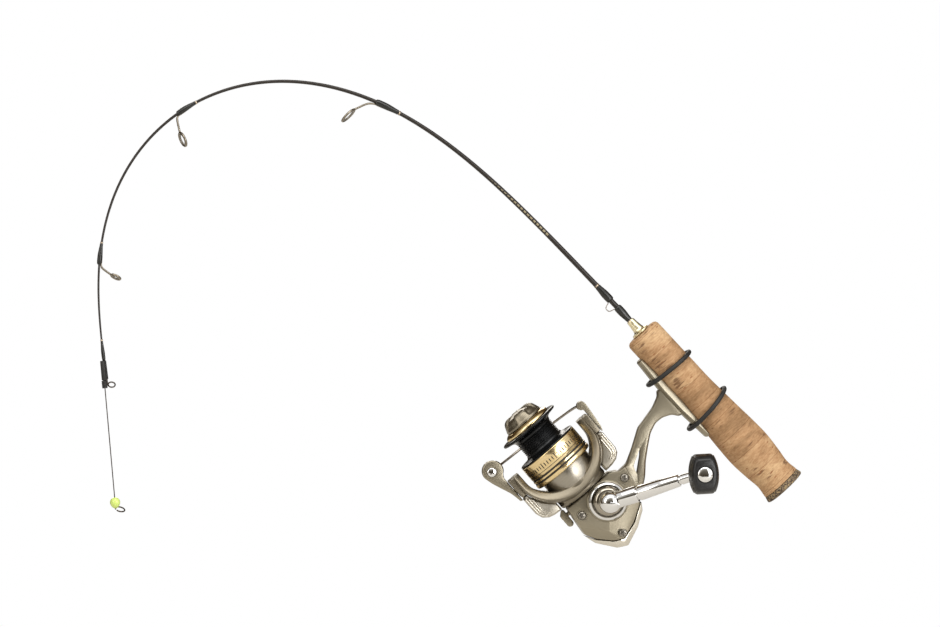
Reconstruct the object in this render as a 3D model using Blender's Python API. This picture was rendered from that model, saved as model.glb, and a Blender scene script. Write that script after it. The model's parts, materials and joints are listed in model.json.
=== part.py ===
"""Ultralight ice fishing rod with a 500-size spinning reel, held flexed as under a load.

Lengths are written in millimetres and turned into metres when a mesh is made.
World frame: origin on the grip's axis above the reel foot, +Z up, -Y is the crank side.
Local frames (empties) have +X forward, +Y to the crank side and +Z away from the reel.
"""
import math

import bmesh
import bpy
from mathutils import Matrix, Vector

MM = 0.001
GAP = 0.3                  # clearance left between pieces that touch

# Rod
GRIP_HEADING = 132.9       # degrees above +X that the grip points
GRIP_FRONT = 40.25         # along the grip from the origin
GRIP_REAR = -78.2
BUTT_END = -82.2
GRIP_RADIUS = 11.0
GRIP_SHAPE = ((-5.0, 11.0), (-17.3, 11.6), (-28.8, 12.2), (-40.0, 12.9), (-51.8, 13.2), (-63.3, 12.2),
              (-70.7, 11.3), (-76.5, 11.9), (BUTT_END + 1.1, 12.9))
GRIP_BORE = 2.05
BLANK_BUTT_RADIUS = 1.65
BLANK_TIP_RADIUS = 0.48
BLANK_LENGTH = 494.0       # from the grip's front to the tip
BEND_START = 133.6         # heading where the blank leaves the grip
BEND_TOTAL = 143.6         # degrees that the loaded blank turns through
BEND_RISE = 2.74           # powers that share the bend out along the blank
BEND_FALL = 1.41
WRAP_THICKNESS = 0.62

# Guides: wrap start and end, ring outer radius, ring centre ahead of and below the wrap end, lean
GUIDES = ((189.8, 204.1, 5.45, 11.4, 13.4, 22.6),
          (311.7, 323.7, 4.75, 5.9, 13.7, 12.6),
          (412.3, 424.4, 3.5, 6.4, 9.9, 21.7))
KEEPER_WRAPS = ((10.4, 20.6), (25.6, 36.4))

# Strike indicator
INDICATOR_HEADING = 275.0
INDICATOR_SIDE = 1.40      # offset of its barrel from the tip: outward, then to the crank side
INDICATOR_NEAR = 2.12
BARREL_RADIUS = 1.45
BARREL_LENGTH = 11.2
GROMMET_RADIUS = 1.65
GROMMET_LENGTH = 4.3
WIRE_RADIUS = 0.3
BEAD_RADIUS = 2.95
BEAD_DISTANCE = 65.8       # below the grommet's mouth

# Reel
REEL_CENTRE = (-52.3, 0.0, -70.7)
REEL_HEADING = 131.0
CRANK_OFFSET = 5.8         # crank axis above the spool axis
SHAFT_RADIUS = 1.2
STROKE = 2.75              # half the spool's travel
REST_OFFSET = -1.75        # the spool rests this far behind the middle of its travel
HOUSING_FAR = -11.0
HOUSING_NEAR = 8.6
WALL = 1.4
GEAR_TEETH = 52
PINION_TEETH = 10
STEP_TEETH = 14            # small gear on the crank shaft and the gear it drives
OSCILLATION_TEETH = 28
OSCILLATION_CENTRE = (-10.2, 3.0)
BAIL_PIVOT = 38.0
ROLLER_CENTRE = (55.5, -33.4)
CRANK_DIRECTION = -22.3    # degrees from +Z, about +Y
CRANK_LENGTH = 54.0
ARM_BASE = 29.5            # distance of the arm's centreline from the reel's middle plane, at the hub
ARM_LEAN = 18.3            # degrees that the arm leans outward, so that it clears the turning bail

COVER_SCREWS = ((3.6, 21.9), (3.3, -10.8), (-20.0, 0.5))

AXES = {"X": Vector((1, 0, 0)), "Y": Vector((0, 1, 0)), "Z": Vector((0, 0, 1))}


# ---------------------------------------------------------------- materials

def material(name, colour, metallic, roughness):
    """A Principled material from an sRGB hex colour."""
    made = bpy.data.materials.get(name)
    if made:
        return made
    made = bpy.data.materials.new(name)
    made.use_nodes = True
    shader = made.node_tree.nodes["Principled BSDF"]
    channels = [int(colour[i:i + 2], 16) / 255 for i in (0, 2, 4)]
    linear = [c / 12.92 if c <= 0.04045 else ((c + 0.055) / 1.055) ** 2.4 for c in channels]
    shader.inputs["Base Color"].default_value = (*linear, 1.0)
    shader.inputs["Metallic"].default_value = metallic
    shader.inputs["Roughness"].default_value = roughness
    return made


FINISHES = {
    "cork": ("B98A5E", 0.0, 0.8),
    "burl_cork": ("6E6250", 0.0, 0.8),
    "graphite": ("2B2722", 0.0, 0.2),
    "thread_epoxy": ("1E1F1D", 0.0, 0.1),
    "pale_gold": ("D8C79A", 1.0, 0.25),
    "guide_steel": ("8E867A", 1.0, 0.25),
    "guide_ceramic": ("4A4743", 0.0, 0.2),
    "black_rubber": ("2A2A2A", 0.0, 0.6),
    "spring_steel": ("9A928B", 1.0, 0.3),
    "chartreuse_bead": ("C2D765", 0.0, 0.3),
    "titanium_paint": ("9C947F", 0.8, 0.35),
    "polished_silver": ("C9C6BE", 1.0, 0.15),
    "chrome": ("D9D9D9", 1.0, 0.05),
    "black_anodised": ("1F2020", 0.7, 0.35),
    "gold_anodised": ("C9AE76", 1.0, 0.2),
    "black_plastic": ("1D1D1D", 0.0, 0.3),
    "machined_steel": ("A8A8A6", 1.0, 0.3),
    "brass": ("B5964E", 1.0, 0.3),
    "felt": ("8A8272", 0.0, 0.9),
}


# ---------------------------------------------------------------- building tools

def frame(name, location=(0, 0, 0), rotation=(0, 0, 0), parent=None):
    """An empty that carries pieces; location in mm, rotation in degrees."""
    empty = bpy.data.objects.new(name, None)
    empty.empty_display_size = 0.01
    empty.location = Vector(location) * MM
    empty.rotation_euler = [math.radians(angle) for angle in rotation]
    empty.parent = parent
    bpy.context.scene.collection.objects.link(empty)
    return empty


def heading_rotation(heading):
    """Rotation of a local frame whose +X points along a heading in the XZ plane."""
    return (0.0, heading - 180.0, 180.0)


def add(name, bm, finish, parent=None, location=(0, 0, 0), rotation=(0, 0, 0)):
    """Makes an object from a bmesh in millimetres."""
    bmesh.ops.remove_doubles(bm, verts=bm.verts, dist=1e-4)
    bmesh.ops.recalc_face_normals(bm, faces=bm.faces)
    bmesh.ops.triangulate(bm, faces=bm.faces)
    bmesh.ops.scale(bm, vec=(MM, MM, MM), verts=bm.verts)
    mesh = bpy.data.meshes.new(name)
    bm.to_mesh(mesh)
    bm.free()
    mesh.shade_smooth()
    mesh.set_sharp_from_angle(angle=math.radians(35))
    piece = bpy.data.objects.new(name, mesh)
    piece.location = Vector(location) * MM
    piece.rotation_euler = [math.radians(angle) for angle in rotation]
    piece.parent = parent
    if finish:
        mesh.materials.append(material(finish, *FINISHES[finish]))
    bpy.context.scene.collection.objects.link(piece)
    return piece


def combine(piece, operation, bm, parent=None, location=(0, 0, 0), rotation=(0, 0, 0), solver="EXACT"):
    """Joins or cuts a hidden helper solid into a piece with a Boolean modifier."""
    helper = add(f"{piece.name}_{operation.lower()}_{len(piece.modifiers)}", bm, None,
                 parent or piece.parent, location, rotation)
    helper.hide_render = True
    helper.display_type = "WIRE"
    modifier = piece.modifiers.new(operation.title(), "BOOLEAN")
    modifier.operation = operation
    modifier.solver = solver
    modifier.object = helper
    return helper


def moved(bm, location=(0, 0, 0), rotation=(0, 0, 0)):
    """Turns (degrees) and then moves (mm) everything in a bmesh."""
    turn = Matrix.Identity(4)
    for axis, angle in zip("XYZ", rotation):
        turn = Matrix.Rotation(math.radians(angle), 4, axis) @ turn
    bmesh.ops.transform(bm, matrix=Matrix.Translation(location) @ turn, verts=bm.verts)
    return bm


def joined(*parts):
    """Puts several bmeshes into one."""
    whole = parts[0]
    for part in parts[1:]:
        mesh = bpy.data.meshes.new("part")
        part.to_mesh(mesh)
        part.free()
        whole.from_mesh(mesh)
        bpy.data.meshes.remove(mesh)
    return whole


def turned(profile, axis="X", steps=32, hollow=False):
    """A solid of revolution from (along, radius) points; hollow closes the profile on itself."""
    sideways = AXES["Z"] if axis != "Z" else AXES["X"]
    bm = bmesh.new()
    verts = [bm.verts.new(AXES[axis] * along + sideways * radius) for along, radius in profile]
    ends = verts[1:] + verts[:1] if hollow else verts[1:]
    edges = [bm.edges.new(pair) for pair in zip(verts, ends)]
    bmesh.ops.spin(bm, geom=verts + edges, cent=(0, 0, 0), axis=AXES[axis], dvec=(0, 0, 0),
                   angle=2 * math.pi, steps=steps, use_merge=True)
    bmesh.ops.remove_doubles(bm, verts=bm.verts, dist=1e-4)
    bmesh.ops.recalc_face_normals(bm, faces=bm.faces)
    return bm


def rod(radius, low, high, axis="X", steps=24):
    """A plain round bar."""
    return turned([(low, 0), (low, radius), (high, radius), (high, 0)], axis, steps)


def ring(inner, outer, low, high, axis="X", steps=32, chamfer=0.0):
    """A round ring with a bore; chamfer breaks its outer edges."""
    profile = [(low, inner), (high, inner), (high, outer - chamfer), (high - chamfer, outer),
               (low + chamfer, outer), (low, outer - chamfer)]
    if not chamfer:
        profile = [(low, inner), (high, inner), (high, outer), (low, outer)]
    return turned(profile, axis, steps, hollow=True)


def prism(outline, low, high, bevel=0.0, segments=2):
    """An outline of (x, z) points drawn out along Y, with its rims bevelled."""
    bm = bmesh.new()
    face = bm.faces.new([bm.verts.new((x, low, z)) for x, z in outline])
    grown = bmesh.ops.extrude_face_region(bm, geom=[face])
    verts = [item for item in grown["geom"] if isinstance(item, bmesh.types.BMVert)]
    bmesh.ops.translate(bm, verts=verts, vec=(0, high - low, 0))
    bmesh.ops.recalc_face_normals(bm, faces=bm.faces)
    if bevel:
        rims = [edge for edge in bm.edges if abs(edge.verts[0].co.y - edge.verts[1].co.y) < 1e-6]
        bmesh.ops.bevel(bm, geom=rims, offset=bevel, segments=segments, affect="EDGES", profile=0.5)
    return bm


def loft(sections):
    """A closed skin through rings of points, all with the same count, capped at both ends."""
    bm = bmesh.new()
    rings = [[bm.verts.new(point) for point in section] for section in sections]
    count = len(rings[0])
    for low, high in zip(rings, rings[1:]):
        for i in range(count):
            j = (i + 1) % count
            bm.faces.new((low[i], low[j], high[j], high[i]))
    bm.faces.new(rings[0][::-1])
    bm.faces.new(rings[-1])
    bmesh.ops.recalc_face_normals(bm, faces=bm.faces)
    return bm


def wire(points, radii, sides_level=2, cyclic=False):
    """A round wire along points, as a mesh made from a bevelled curve."""
    curve = bpy.data.curves.new("wire", "CURVE")
    curve.dimensions = "3D"
    curve.bevel_depth = 1.0
    curve.bevel_resolution = sides_level
    curve.use_fill_caps = not cyclic
    spline = curve.splines.new("POLY")
    spline.points.add(len(points) - 1)
    for i, (target, point) in enumerate(zip(spline.points, points)):
        target.co = (*point, 1.0)
        target.radius = radii[i] if isinstance(radii, (list, tuple)) else radii
    spline.use_cyclic_u = cyclic
    holder = bpy.data.objects.new("wire", curve)
    bpy.context.scene.collection.objects.link(holder)
    bpy.context.view_layer.update()
    mesh = bpy.data.meshes.new_from_object(holder)
    bm = bmesh.new()
    bm.from_mesh(mesh)
    bpy.data.objects.remove(holder)
    bpy.data.curves.remove(curve)
    bpy.data.meshes.remove(mesh)
    bmesh.ops.remove_doubles(bm, verts=bm.verts, dist=1e-4)
    bmesh.ops.recalc_face_normals(bm, faces=bm.faces)
    return bm


def smooth_path(points, per_span=4):
    """Catmull-Rom points through a few given ones."""
    points = [Vector(point) for point in points]
    padded = [points[0] * 2 - points[1]] + points + [points[-1] * 2 - points[-2]]
    path = []
    for a, b, c, d in zip(padded, padded[1:], padded[2:], padded[3:]):
        for i in range(per_span):
            t = i / per_span
            path.append(0.5 * (b * 2 + (c - a) * t + (a * 2 - b * 5 + c * 4 - d) * t ** 2
                               + (b * 3 - a - c * 3 + d) * t ** 3))
    path.append(points[-1])
    return path


def arc(centre, radius, start, end, steps):
    """Points (x, z) on an arc, angles in degrees from +X towards +Z."""
    angles = [math.radians(start + (end - start) * i / steps) for i in range(steps + 1)]
    return [(centre[0] + radius * math.cos(a), centre[1] + radius * math.sin(a)) for a in angles]


def block_outline(middle, half, low, high):
    """A rectangle from its middle and half width along X, and its limits along Z."""
    return [(middle - half, low), (middle + half, low), (middle + half, high), (middle - half, high)]


def gear_outline(teeth, root, tip, land, phase=0.0):
    """Spur gear outline; land is the share of the pitch that the tooth fills at its tip."""
    points = []
    pitch = 2 * math.pi / teeth
    for i in range(teeth):
        middle = math.radians(phase) + i * pitch
        for radius, share in ((root, -0.5 * land - 0.14), (tip, -0.5 * land),
                              (tip, 0.5 * land), (root, 0.5 * land + 0.14)):
            angle = middle + share * pitch
            points.append((radius * math.cos(angle), radius * math.sin(angle)))
    return points


# ---------------------------------------------------------------- the bent blank

def bend_table(steps=400):
    """Heading and place of the blank's centreline at even stations from grip to tip."""
    weights = [(i / steps) ** BEND_RISE * (1 - i / steps) ** BEND_FALL for i in range(steps + 1)]
    turned_so_far = [0.0]
    for low, high in zip(weights, weights[1:]):
        turned_so_far.append(turned_so_far[-1] + (low + high) / 2)
    headings = [math.radians(BEND_START + BEND_TOTAL * share / turned_so_far[-1]) for share in turned_so_far]
    start = math.radians(GRIP_HEADING)
    points = [Vector((math.cos(start), 0, math.sin(start))) * GRIP_FRONT]
    step = BLANK_LENGTH / steps
    for low, high in zip(headings, headings[1:]):
        middle = (low + high) / 2
        points.append(points[-1] + Vector((math.cos(middle), 0, math.sin(middle))) * step)
    return headings, points


HEADINGS, CENTRELINE = bend_table()


def station(distance):
    """Place and heading (radians) of the blank at a distance from the grip's front."""
    position = min(max(distance / BLANK_LENGTH, 0.0), 1.0) * (len(CENTRELINE) - 1)
    low = min(int(position), len(CENTRELINE) - 2)
    share = position - low
    point = CENTRELINE[low].lerp(CENTRELINE[low + 1], share)
    heading = HEADINGS[low] * (1 - share) + HEADINGS[low + 1] * share
    extra = distance - min(max(distance, 0.0), BLANK_LENGTH)
    return point + Vector((math.cos(heading), 0, math.sin(heading))) * extra, heading


def blank_radius(distance):
    share = min(max(distance / BLANK_LENGTH, 0.0), 1.0)
    return BLANK_BUTT_RADIUS - (BLANK_BUTT_RADIUS - BLANK_TIP_RADIUS) * share ** 0.85


def on_blank(distance, near=0.0, outward=0.0):
    """World point at a station, moved towards the crank side and away from the reel."""
    point, heading = station(distance)
    return point + Vector((math.sin(heading), 0, -math.cos(heading))) * outward + Vector((0, -near, 0))


def bent(bm):
    """Bends a piece made along +X (x is the station) onto the blank."""
    for vert in bm.verts:
        vert.co = on_blank(vert.co.x, vert.co.y, vert.co.z)
    return bm


def sleeve(start, end, clearance, thickness, steps=12, rounding=0.35, spans=3):
    """A thin-walled sleeve on the blank with rounded ends, already bent."""
    stations = [start + (end - start) * i / spans for i in range(spans + 1)]
    inner = [(s, blank_radius(s) + clearance) for s in stations]
    body = [start + rounding] + stations[1:-1] + [end - rounding]
    outer = [(s, blank_radius(s) + clearance + thickness) for s in body]
    profile = inner + [(end, inner[-1][1] + thickness * 0.5)] + outer[::-1]
    profile += [(start, inner[0][1] + thickness * 0.5)]
    return bent(turned(profile, "X", steps, hollow=True))


# ---------------------------------------------------------------- rod

def grip_profile(offset=0.0):
    """Outer line of the grip and its cap from front to butt."""
    front = [(GRIP_FRONT, GRIP_RADIUS - 2.0), (GRIP_FRONT - 0.6, GRIP_RADIUS - 0.7),
             (GRIP_FRONT - 2.0, GRIP_RADIUS)]
    curve = smooth_path([(x, 0, r) for x, r in GRIP_SHAPE], 2)
    return [(x, r + offset) for x, r in front] + [(p.x, p.z + offset) for p in curve]


def make_grip(grip):
    outer = [(x, r) for x, r in grip_profile() if x > GRIP_REAR]
    rear_radius = 12.15
    profile = [(GRIP_FRONT, GRIP_BORE)] + outer + [(GRIP_REAR, rear_radius), (GRIP_REAR, GRIP_BORE)]
    add("cork_handle", turned(profile, "X", 20, hollow=True), "cork", grip)
    cap_front = GRIP_REAR - 0.15
    cap = [(cap_front, 0), (cap_front, rear_radius + 0.05), (BUTT_END + 1.1, 12.9), (BUTT_END + 0.4, 12.6),
           (BUTT_END, 11.9), (BUTT_END, 0)]
    add("butt_cap", turned(cap, "X", 20), "burl_cork", grip)
    check = [(GAP, 1.9), (9.3, 1.9), (9.5, 2.3), (8.4, 2.5), (2.3, 3.3), (1.7, 4.2), (1.4, 5.3), (0.8, 5.45),
             (GAP, 5.2)]
    check = [(GRIP_FRONT + x, r) for x, r in check]
    add("winding_check", turned(check, "X", 20, hollow=True), "pale_gold", grip)


def make_blank():
    start = math.radians(GRIP_HEADING)
    direction = Vector((math.cos(start), 0, math.sin(start)))
    points = [direction * along for along in (-76.0, -40.0, 0.0, 30.0)]
    radii = [BLANK_BUTT_RADIUS] * len(points)
    count = 56
    for i in range(count + 1):
        distance = BLANK_LENGTH * i / count
        points.append(on_blank(distance))
        radii.append(blank_radius(distance))
    add("rod_blank", wire(points, radii, 2), "graphite")


def make_keeper():
    wraps = []
    for name, (start, end) in zip(("keeper_wrap_rear", "keeper_wrap_front"), KEEPER_WRAPS):
        wraps.append(add(name, sleeve(start, end, 0.12, WRAP_THICKNESS), "thread_epoxy"))
    seat = blank_radius(20) + 0.12 + 0.28
    rear = KEEPER_WRAPS[0][1]
    front = KEEPER_WRAPS[1][0]
    deep = seat + 3.3
    middle = (rear + front) / 2
    route = [(rear - 6.0, seat), (rear + 0.1, seat), (middle - 2.75, seat + 1.3), (middle - 2.5, deep - 0.9),
             (middle - 1.3, deep), (middle + 1.3, deep), (middle + 2.5, deep - 0.9),
             (middle + 2.75, seat + 1.3), (front - 0.1, seat), (front + 6.0, seat)]
    path = smooth_path([(x, 0, -z) for x, z in route], 2)
    add("hook_keeper", bent(wire(path, 0.27, 1)), "spring_steel")
    for wrap, ends in zip(wraps, ((rear - 6.3, rear + 0.5), (front - 0.5, front + 6.3))):
        channel = wire([(ends[0], 0, -seat), (sum(ends) / 2, 0, -seat), (ends[1], 0, -seat)], 0.4)
        combine(wrap, "DIFFERENCE", bent(channel))


def make_guide(number, start, end, outer, ahead, below, lean):
    """A single-foot guide: foot under the wrap, one curved leg, a leaning ring with its insert."""
    wrap = add(f"guide_wrap_{number}", sleeve(start, end, 0.12, WRAP_THICKNESS), "thread_epoxy")
    bar = 0.42
    seat = blank_radius(end) + 0.14 + bar
    point, heading = station(end)
    holder = frame(f"guide_{number}_frame", point, heading_rotation(math.degrees(heading)))
    # the ring's plane leans forward as it goes away from the blank
    lean_angle = math.radians(lean)
    ring_centre = Vector((ahead, 0, -below))
    along = Vector((math.sin(lean_angle), 0, -math.cos(lean_angle)))
    band = 0.55
    big = outer - band
    circle = []
    for i in range(18):
        angle = 2 * math.pi * i / 18
        circle.append(ring_centre + along * big * math.cos(angle) + Vector((0, 1, 0)) * big * math.sin(angle))
    top = ring_centre - along * (big + 0.1)
    local_foot = [Vector((-5.0, 0, -seat)), Vector((-2.0, 0, -seat)), Vector((0.6, 0, -seat))]
    leg = smooth_path(local_foot + [Vector((top.x * 0.45, 0, -seat + (top.z + seat) * 0.22)), top], 3)
    frame_piece = add(f"guide_frame_{number}", wire(circle, band, 1, cyclic=True), "guide_steel", holder)
    combine(frame_piece, "UNION", wire(leg, bar, 1))
    channel = [Vector((-5.4, 0, -seat)), Vector((-2.0, 0, -seat)), Vector((1.0, 0, -seat))]
    combine(wrap, "DIFFERENCE", wire(channel, bar + 0.16, 1), holder)
    insert_outer = big - band - 0.1
    insert = turned(arc((0.0, insert_outer - 0.42), 0.42, 0, 300, 5), "X", 18, hollow=True)
    tip_over = math.degrees(math.atan2(-along.z, along.x)) - 90
    add(f"guide_ring_{number}", insert, "guide_ceramic", holder, ring_centre, (0, tip_over, 0))


def make_tip():
    add("tip_wrap", sleeve(468.5, 479.6, 0.1, 0.4), "thread_epoxy")
    tube_start = 480.2
    tube_end = BLANK_LENGTH - 0.2
    stations = [tube_start + (tube_end - tube_start) * i / 2 for i in range(3)]
    profile = [(s, 0.62) for s in stations] + [(s, 0.8) for s in stations[::-1]]
    top = add("tip_top", bent(turned(profile, "X", 12, hollow=True)), "guide_steel")
    point, heading = station(tube_end)
    holder = frame("tip_frame", point, heading_rotation(math.degrees(heading)))
    reach = Vector((math.sin(math.radians(10)), 0, -math.cos(math.radians(10))))
    across = Vector((math.cos(math.radians(10)), 0.9, math.sin(math.radians(10)))).normalized()
    centre = Vector((-0.3, 0, -0.6)) + reach * 2.1
    circle = [centre + reach * 2.0 * math.cos(a) + across * 1.9 * math.sin(a)
              for a in (2 * math.pi * i / 16 for i in range(16))]
    combine(top, "UNION", wire(circle, 0.3, 1, cyclic=True), holder)


def make_indicator():
    tip, heading = station(BLANK_LENGTH)
    direction = math.radians(INDICATOR_HEADING)
    forward = Vector((math.cos(direction), 0, math.sin(direction)))
    outward = Vector((math.sin(direction), 0, -math.cos(direction)))
    base = tip - forward * 3.2 + outward * INDICATOR_SIDE + Vector((0, -INDICATOR_NEAR, 0))
    axis = frame("indicator_axis", base, heading_rotation(INDICATOR_HEADING))
    # barrel beside the tip, fused with a tube that slips over the tip-top
    shell = [(-BARREL_LENGTH, 0), (-BARREL_LENGTH, 1.2), (-BARREL_LENGTH + 0.3, BARREL_RADIUS),
             (-0.3, BARREL_RADIUS), (0, 1.2), (0, 0)]
    barrel = add("indicator_sleeve", turned(shell, "X", 16), "black_rubber", axis)
    holder = bent(rod(1.25, BLANK_LENGTH - 3.4 - BARREL_LENGTH, BLANK_LENGTH - 3.6, "X", 12))
    to_axis = axis_matrix(base, INDICATOR_HEADING).inverted()
    bmesh.ops.transform(holder, matrix=to_axis, verts=holder.verts)
    combine(barrel, "UNION", holder)
    bore = bent(rod(0.97, BLANK_LENGTH - 5.0 - BARREL_LENGTH, BLANK_LENGTH - 2.0, "X", 12))
    bmesh.ops.transform(bore, matrix=to_axis, verts=bore.verts)
    combine(barrel, "DIFFERENCE", bore)
    combine(barrel, "DIFFERENCE", rod(0.95, -9.5, 1.0, "X", 12))
    ribs = [(GAP, 0), (GAP, GROMMET_RADIUS - 0.25)]
    for i in range(4):
        x = GAP + 0.15 + i * 0.95
        ribs += [(x, GROMMET_RADIUS), (x + 0.55, GROMMET_RADIUS), (x + 0.65, GROMMET_RADIUS - 0.2),
                 (x + 0.85, GROMMET_RADIUS - 0.2)]
    end = GAP + GROMMET_LENGTH
    ribs += [(end - 0.15, GROMMET_RADIUS), (end, GROMMET_RADIUS - 0.25), (end, 0.85), (end - 1.2, 0.85),
             (end - 1.2, 0)]
    stem = [(-7.0, 0), (-7.0, 0.78), (GAP, 0.78)]
    add("indicator_grommet", turned(stem + ribs[1:], "X", 10), "black_rubber", axis)
    mouth = frame("indicator_mouth", (end, 0, 0), parent=axis)
    bead_at = BEAD_DISTANCE
    bead = [(bead_at - BEAD_RADIUS * 0.985, 0.45)]
    for angle in range(30, 160, 18):
        a = math.radians(angle)
        tail = 0.55 * max(0.0, -math.cos(a)) ** 3
        bead.append((bead_at - BEAD_RADIUS * math.cos(a) + tail, BEAD_RADIUS * math.sin(a)))
    bead += [(bead_at + BEAD_RADIUS + 0.5, 0.6), (bead_at + BEAD_RADIUS + 0.5, 0.45)]
    add("indicator_bead", turned(bead, "X", 16, hollow=True), "chartreuse_bead", mouth)
    # the wire runs through the bead and ends in a round line eye that leans to one side
    tilt = math.radians(28)
    side = Vector((math.sin(tilt), 0, -math.cos(tilt)))
    cross = Vector((math.cos(tilt) * 0.8, 0.6, math.sin(tilt) * 0.8))
    shank_end = bead_at + BEAD_RADIUS + 0.9
    eye_centre = Vector((shank_end + 1.6, 0, 0)) + side * 1.9
    route = [Vector((along, 0, 0)) for along in (-0.9, bead_at * 0.5, bead_at, shank_end)]
    start_angle = 150.0
    for i in range(15):
        angle = math.radians(start_angle + i * 22.5)
        route.append(eye_centre + side * 2.7 * math.cos(angle) + cross * 2.7 * math.sin(angle))
    add("indicator_wire", wire(route, WIRE_RADIUS, 1), "spring_steel", mouth)


def axis_matrix(point, heading):
    """Matrix of a local frame at a world point with its +X along a heading."""
    turn = math.radians(heading)
    x = Vector((math.cos(turn), 0, math.sin(turn)))
    z = Vector((math.sin(turn), 0, -math.cos(turn)))
    y = z.cross(x)
    return Matrix.Translation(point) @ Matrix((x, y, z)).transposed().to_4x4()


def make_orings(grip):
    """Two rubber rings round the grip and the reel foot, each leaning a little."""
    for name, low_x, high_x in (("oring_front", 15.4, 13.5), ("oring_rear", -19.2, -15.7)):
        rubber = 0.95
        grip_here = GRIP_RADIUS + (0.0 if low_x > 0 else 0.65)
        across = grip_here + 0.35 + rubber
        deep = 17.3
        points = []
        for i in range(28):
            a = 2 * math.pi * i / 28
            z = math.sin(a) * (across if math.sin(a) > 0 else deep)
            lean = (math.sin(a) + 1) / 2
            bow = -1.0 * max(0.0, math.cos(a)) if low_x < 0 else -0.5 * max(0.0, math.cos(a))
            points.append((low_x + (high_x - low_x) * lean + bow, across * math.cos(a), z))
        add(name, wire(points, rubber, 1, cyclic=True), "black_rubber", grip)


# ---------------------------------------------------------------- reel, fixed pieces

BODY_FRONT = [(8.3, 22.4), (11.5, 17.2), (11.5, -14.4), (3.5, -15.5), (-6.9, -16.6)]
SEAM = [(-12.6, -13.6), (-19.6, -6.8), (-22.9, -0.6), (-19.6, 9.6), (-14.0, 18.6)]
INNER = [(10.1, 15.6), (10.1, -13.0), (3.4, -14.1), (-6.3, -15.0), (-11.6, -12.0), (-18.1, -5.6),
         (-21.3, -0.5), (-18.1, 9.0), (-13.0, 16.6), (0.0, 17.2)]
STEM = [(-12.7, 20.6), (-4.4, 31.8), (2.0, 37.9), (7.3, 44.1), (12.4, 50.6), (14.8, 56.4), (14.6, 61.5),
        (12.4, 66.6), (8.5, 69.5), (9.0, 73.5), (26.5, 73.5), (28.5, 69.2), (25.6, 67.4), (22.6, 61.0),
        (20.1, 50.3), (19.5, 47.2), (12.8, 36.6), (8.2, 28.3)]
STEM_HOLE = [(10.2, 40.6), (4.6, 30.4), (-0.6, 28.8), (6.6, 37.4)]


def make_housing(reel, grip):
    """Foot, stem and hollow body in one casting, open on the crank side."""
    body = BODY_FRONT + SEAM
    housing = add("reel_housing", prism(body, HOUSING_FAR, HOUSING_NEAR, 0.8), "titanium_paint", reel)
    stem = prism([(8.0, 20.0), (-12.0, 19.0)] + STEM, -3.6, 3.6, 1.4)
    for vert in stem.verts:
        widen = max(0.0, 1 - max(0.0, vert.co.z - 20.0) / 16.0)
        vert.co.y *= 1 + 1.0 * widen + 0.25 * max(0.0, (vert.co.z - 52.0) / 20.0)
    combine(housing, "UNION", stem)
    # saddle foot, wider on top where it meets the grip
    sections = []
    shape = ((29.5, 3.0, -13.2, 4.6), (28.6, 3.6, -13.9, 5.6), (20.0, 3.9, -14.5, 6.6), (8.0, 4.0, -15.4, 6.7))
    for x, half, bottom, top in [(-x, *rest) for x, *rest in shape] + list(shape[::-1]):
        sections.append([(x, -top, -9.0), (x, -top, -10.6), (x, -half, bottom), (x, half, bottom),
                         (x, top, -10.6), (x, top, -9.0)])
    combine(housing, "UNION", loft(sections), grip)
    combine(housing, "UNION", rod(7.2, 10.0, 17.6, "X", 20))
    combine(housing, "DIFFERENCE", prism(INNER, HOUSING_FAR + WALL, HOUSING_NEAR + 2))
    bosses = [moved(rod(2.4, HOUSING_FAR + 1.0, HOUSING_NEAR - 0.1, "Y", 10), (x, 0, z))
              for x, z in COVER_SCREWS[1:]]
    bosses.append(moved(rod(6.6, HOUSING_FAR + 1.0, -7.2, "Y", 18), (0, 0, CRANK_OFFSET)))
    for boss in bosses:
        combine(housing, "UNION", boss)
    cuts = [moved(rod(1.35, 3.0, HOUSING_NEAR + 2, "Y", 8), (x, 0, z)) for x, z in COVER_SCREWS]
    cuts.append(moved(rod(5.45, -9.3, -6.0, "Y", 20), (0, 0, CRANK_OFFSET)))
    cuts.append(turned([(8.0, 0), (8.0, 3.2), (11.3, 3.2), (11.3, 5.75), (19.0, 5.75), (19.0, 0)], "X", 20))
    cuts.append(moved(rod(1.6, -20.0, -11.0, "Z", 10), (8.4, 0, 0)))
    combine(housing, "DIFFERENCE", joined(*cuts))
    combine(housing, "DIFFERENCE", prism(STEM_HOLE, -14, 14), solver="MANIFOLD")
    # the grip lies in the saddle
    cradle = [(x, r) for x, r in grip_profile(GAP)]
    cradle = [(60.0, 0), (60.0, GRIP_RADIUS + GAP)] + cradle[3:] + [(-95.0, 12.9), (-95.0, 0)]
    combine(housing, "DIFFERENCE", turned(cradle, "X", 20), grip)


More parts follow.
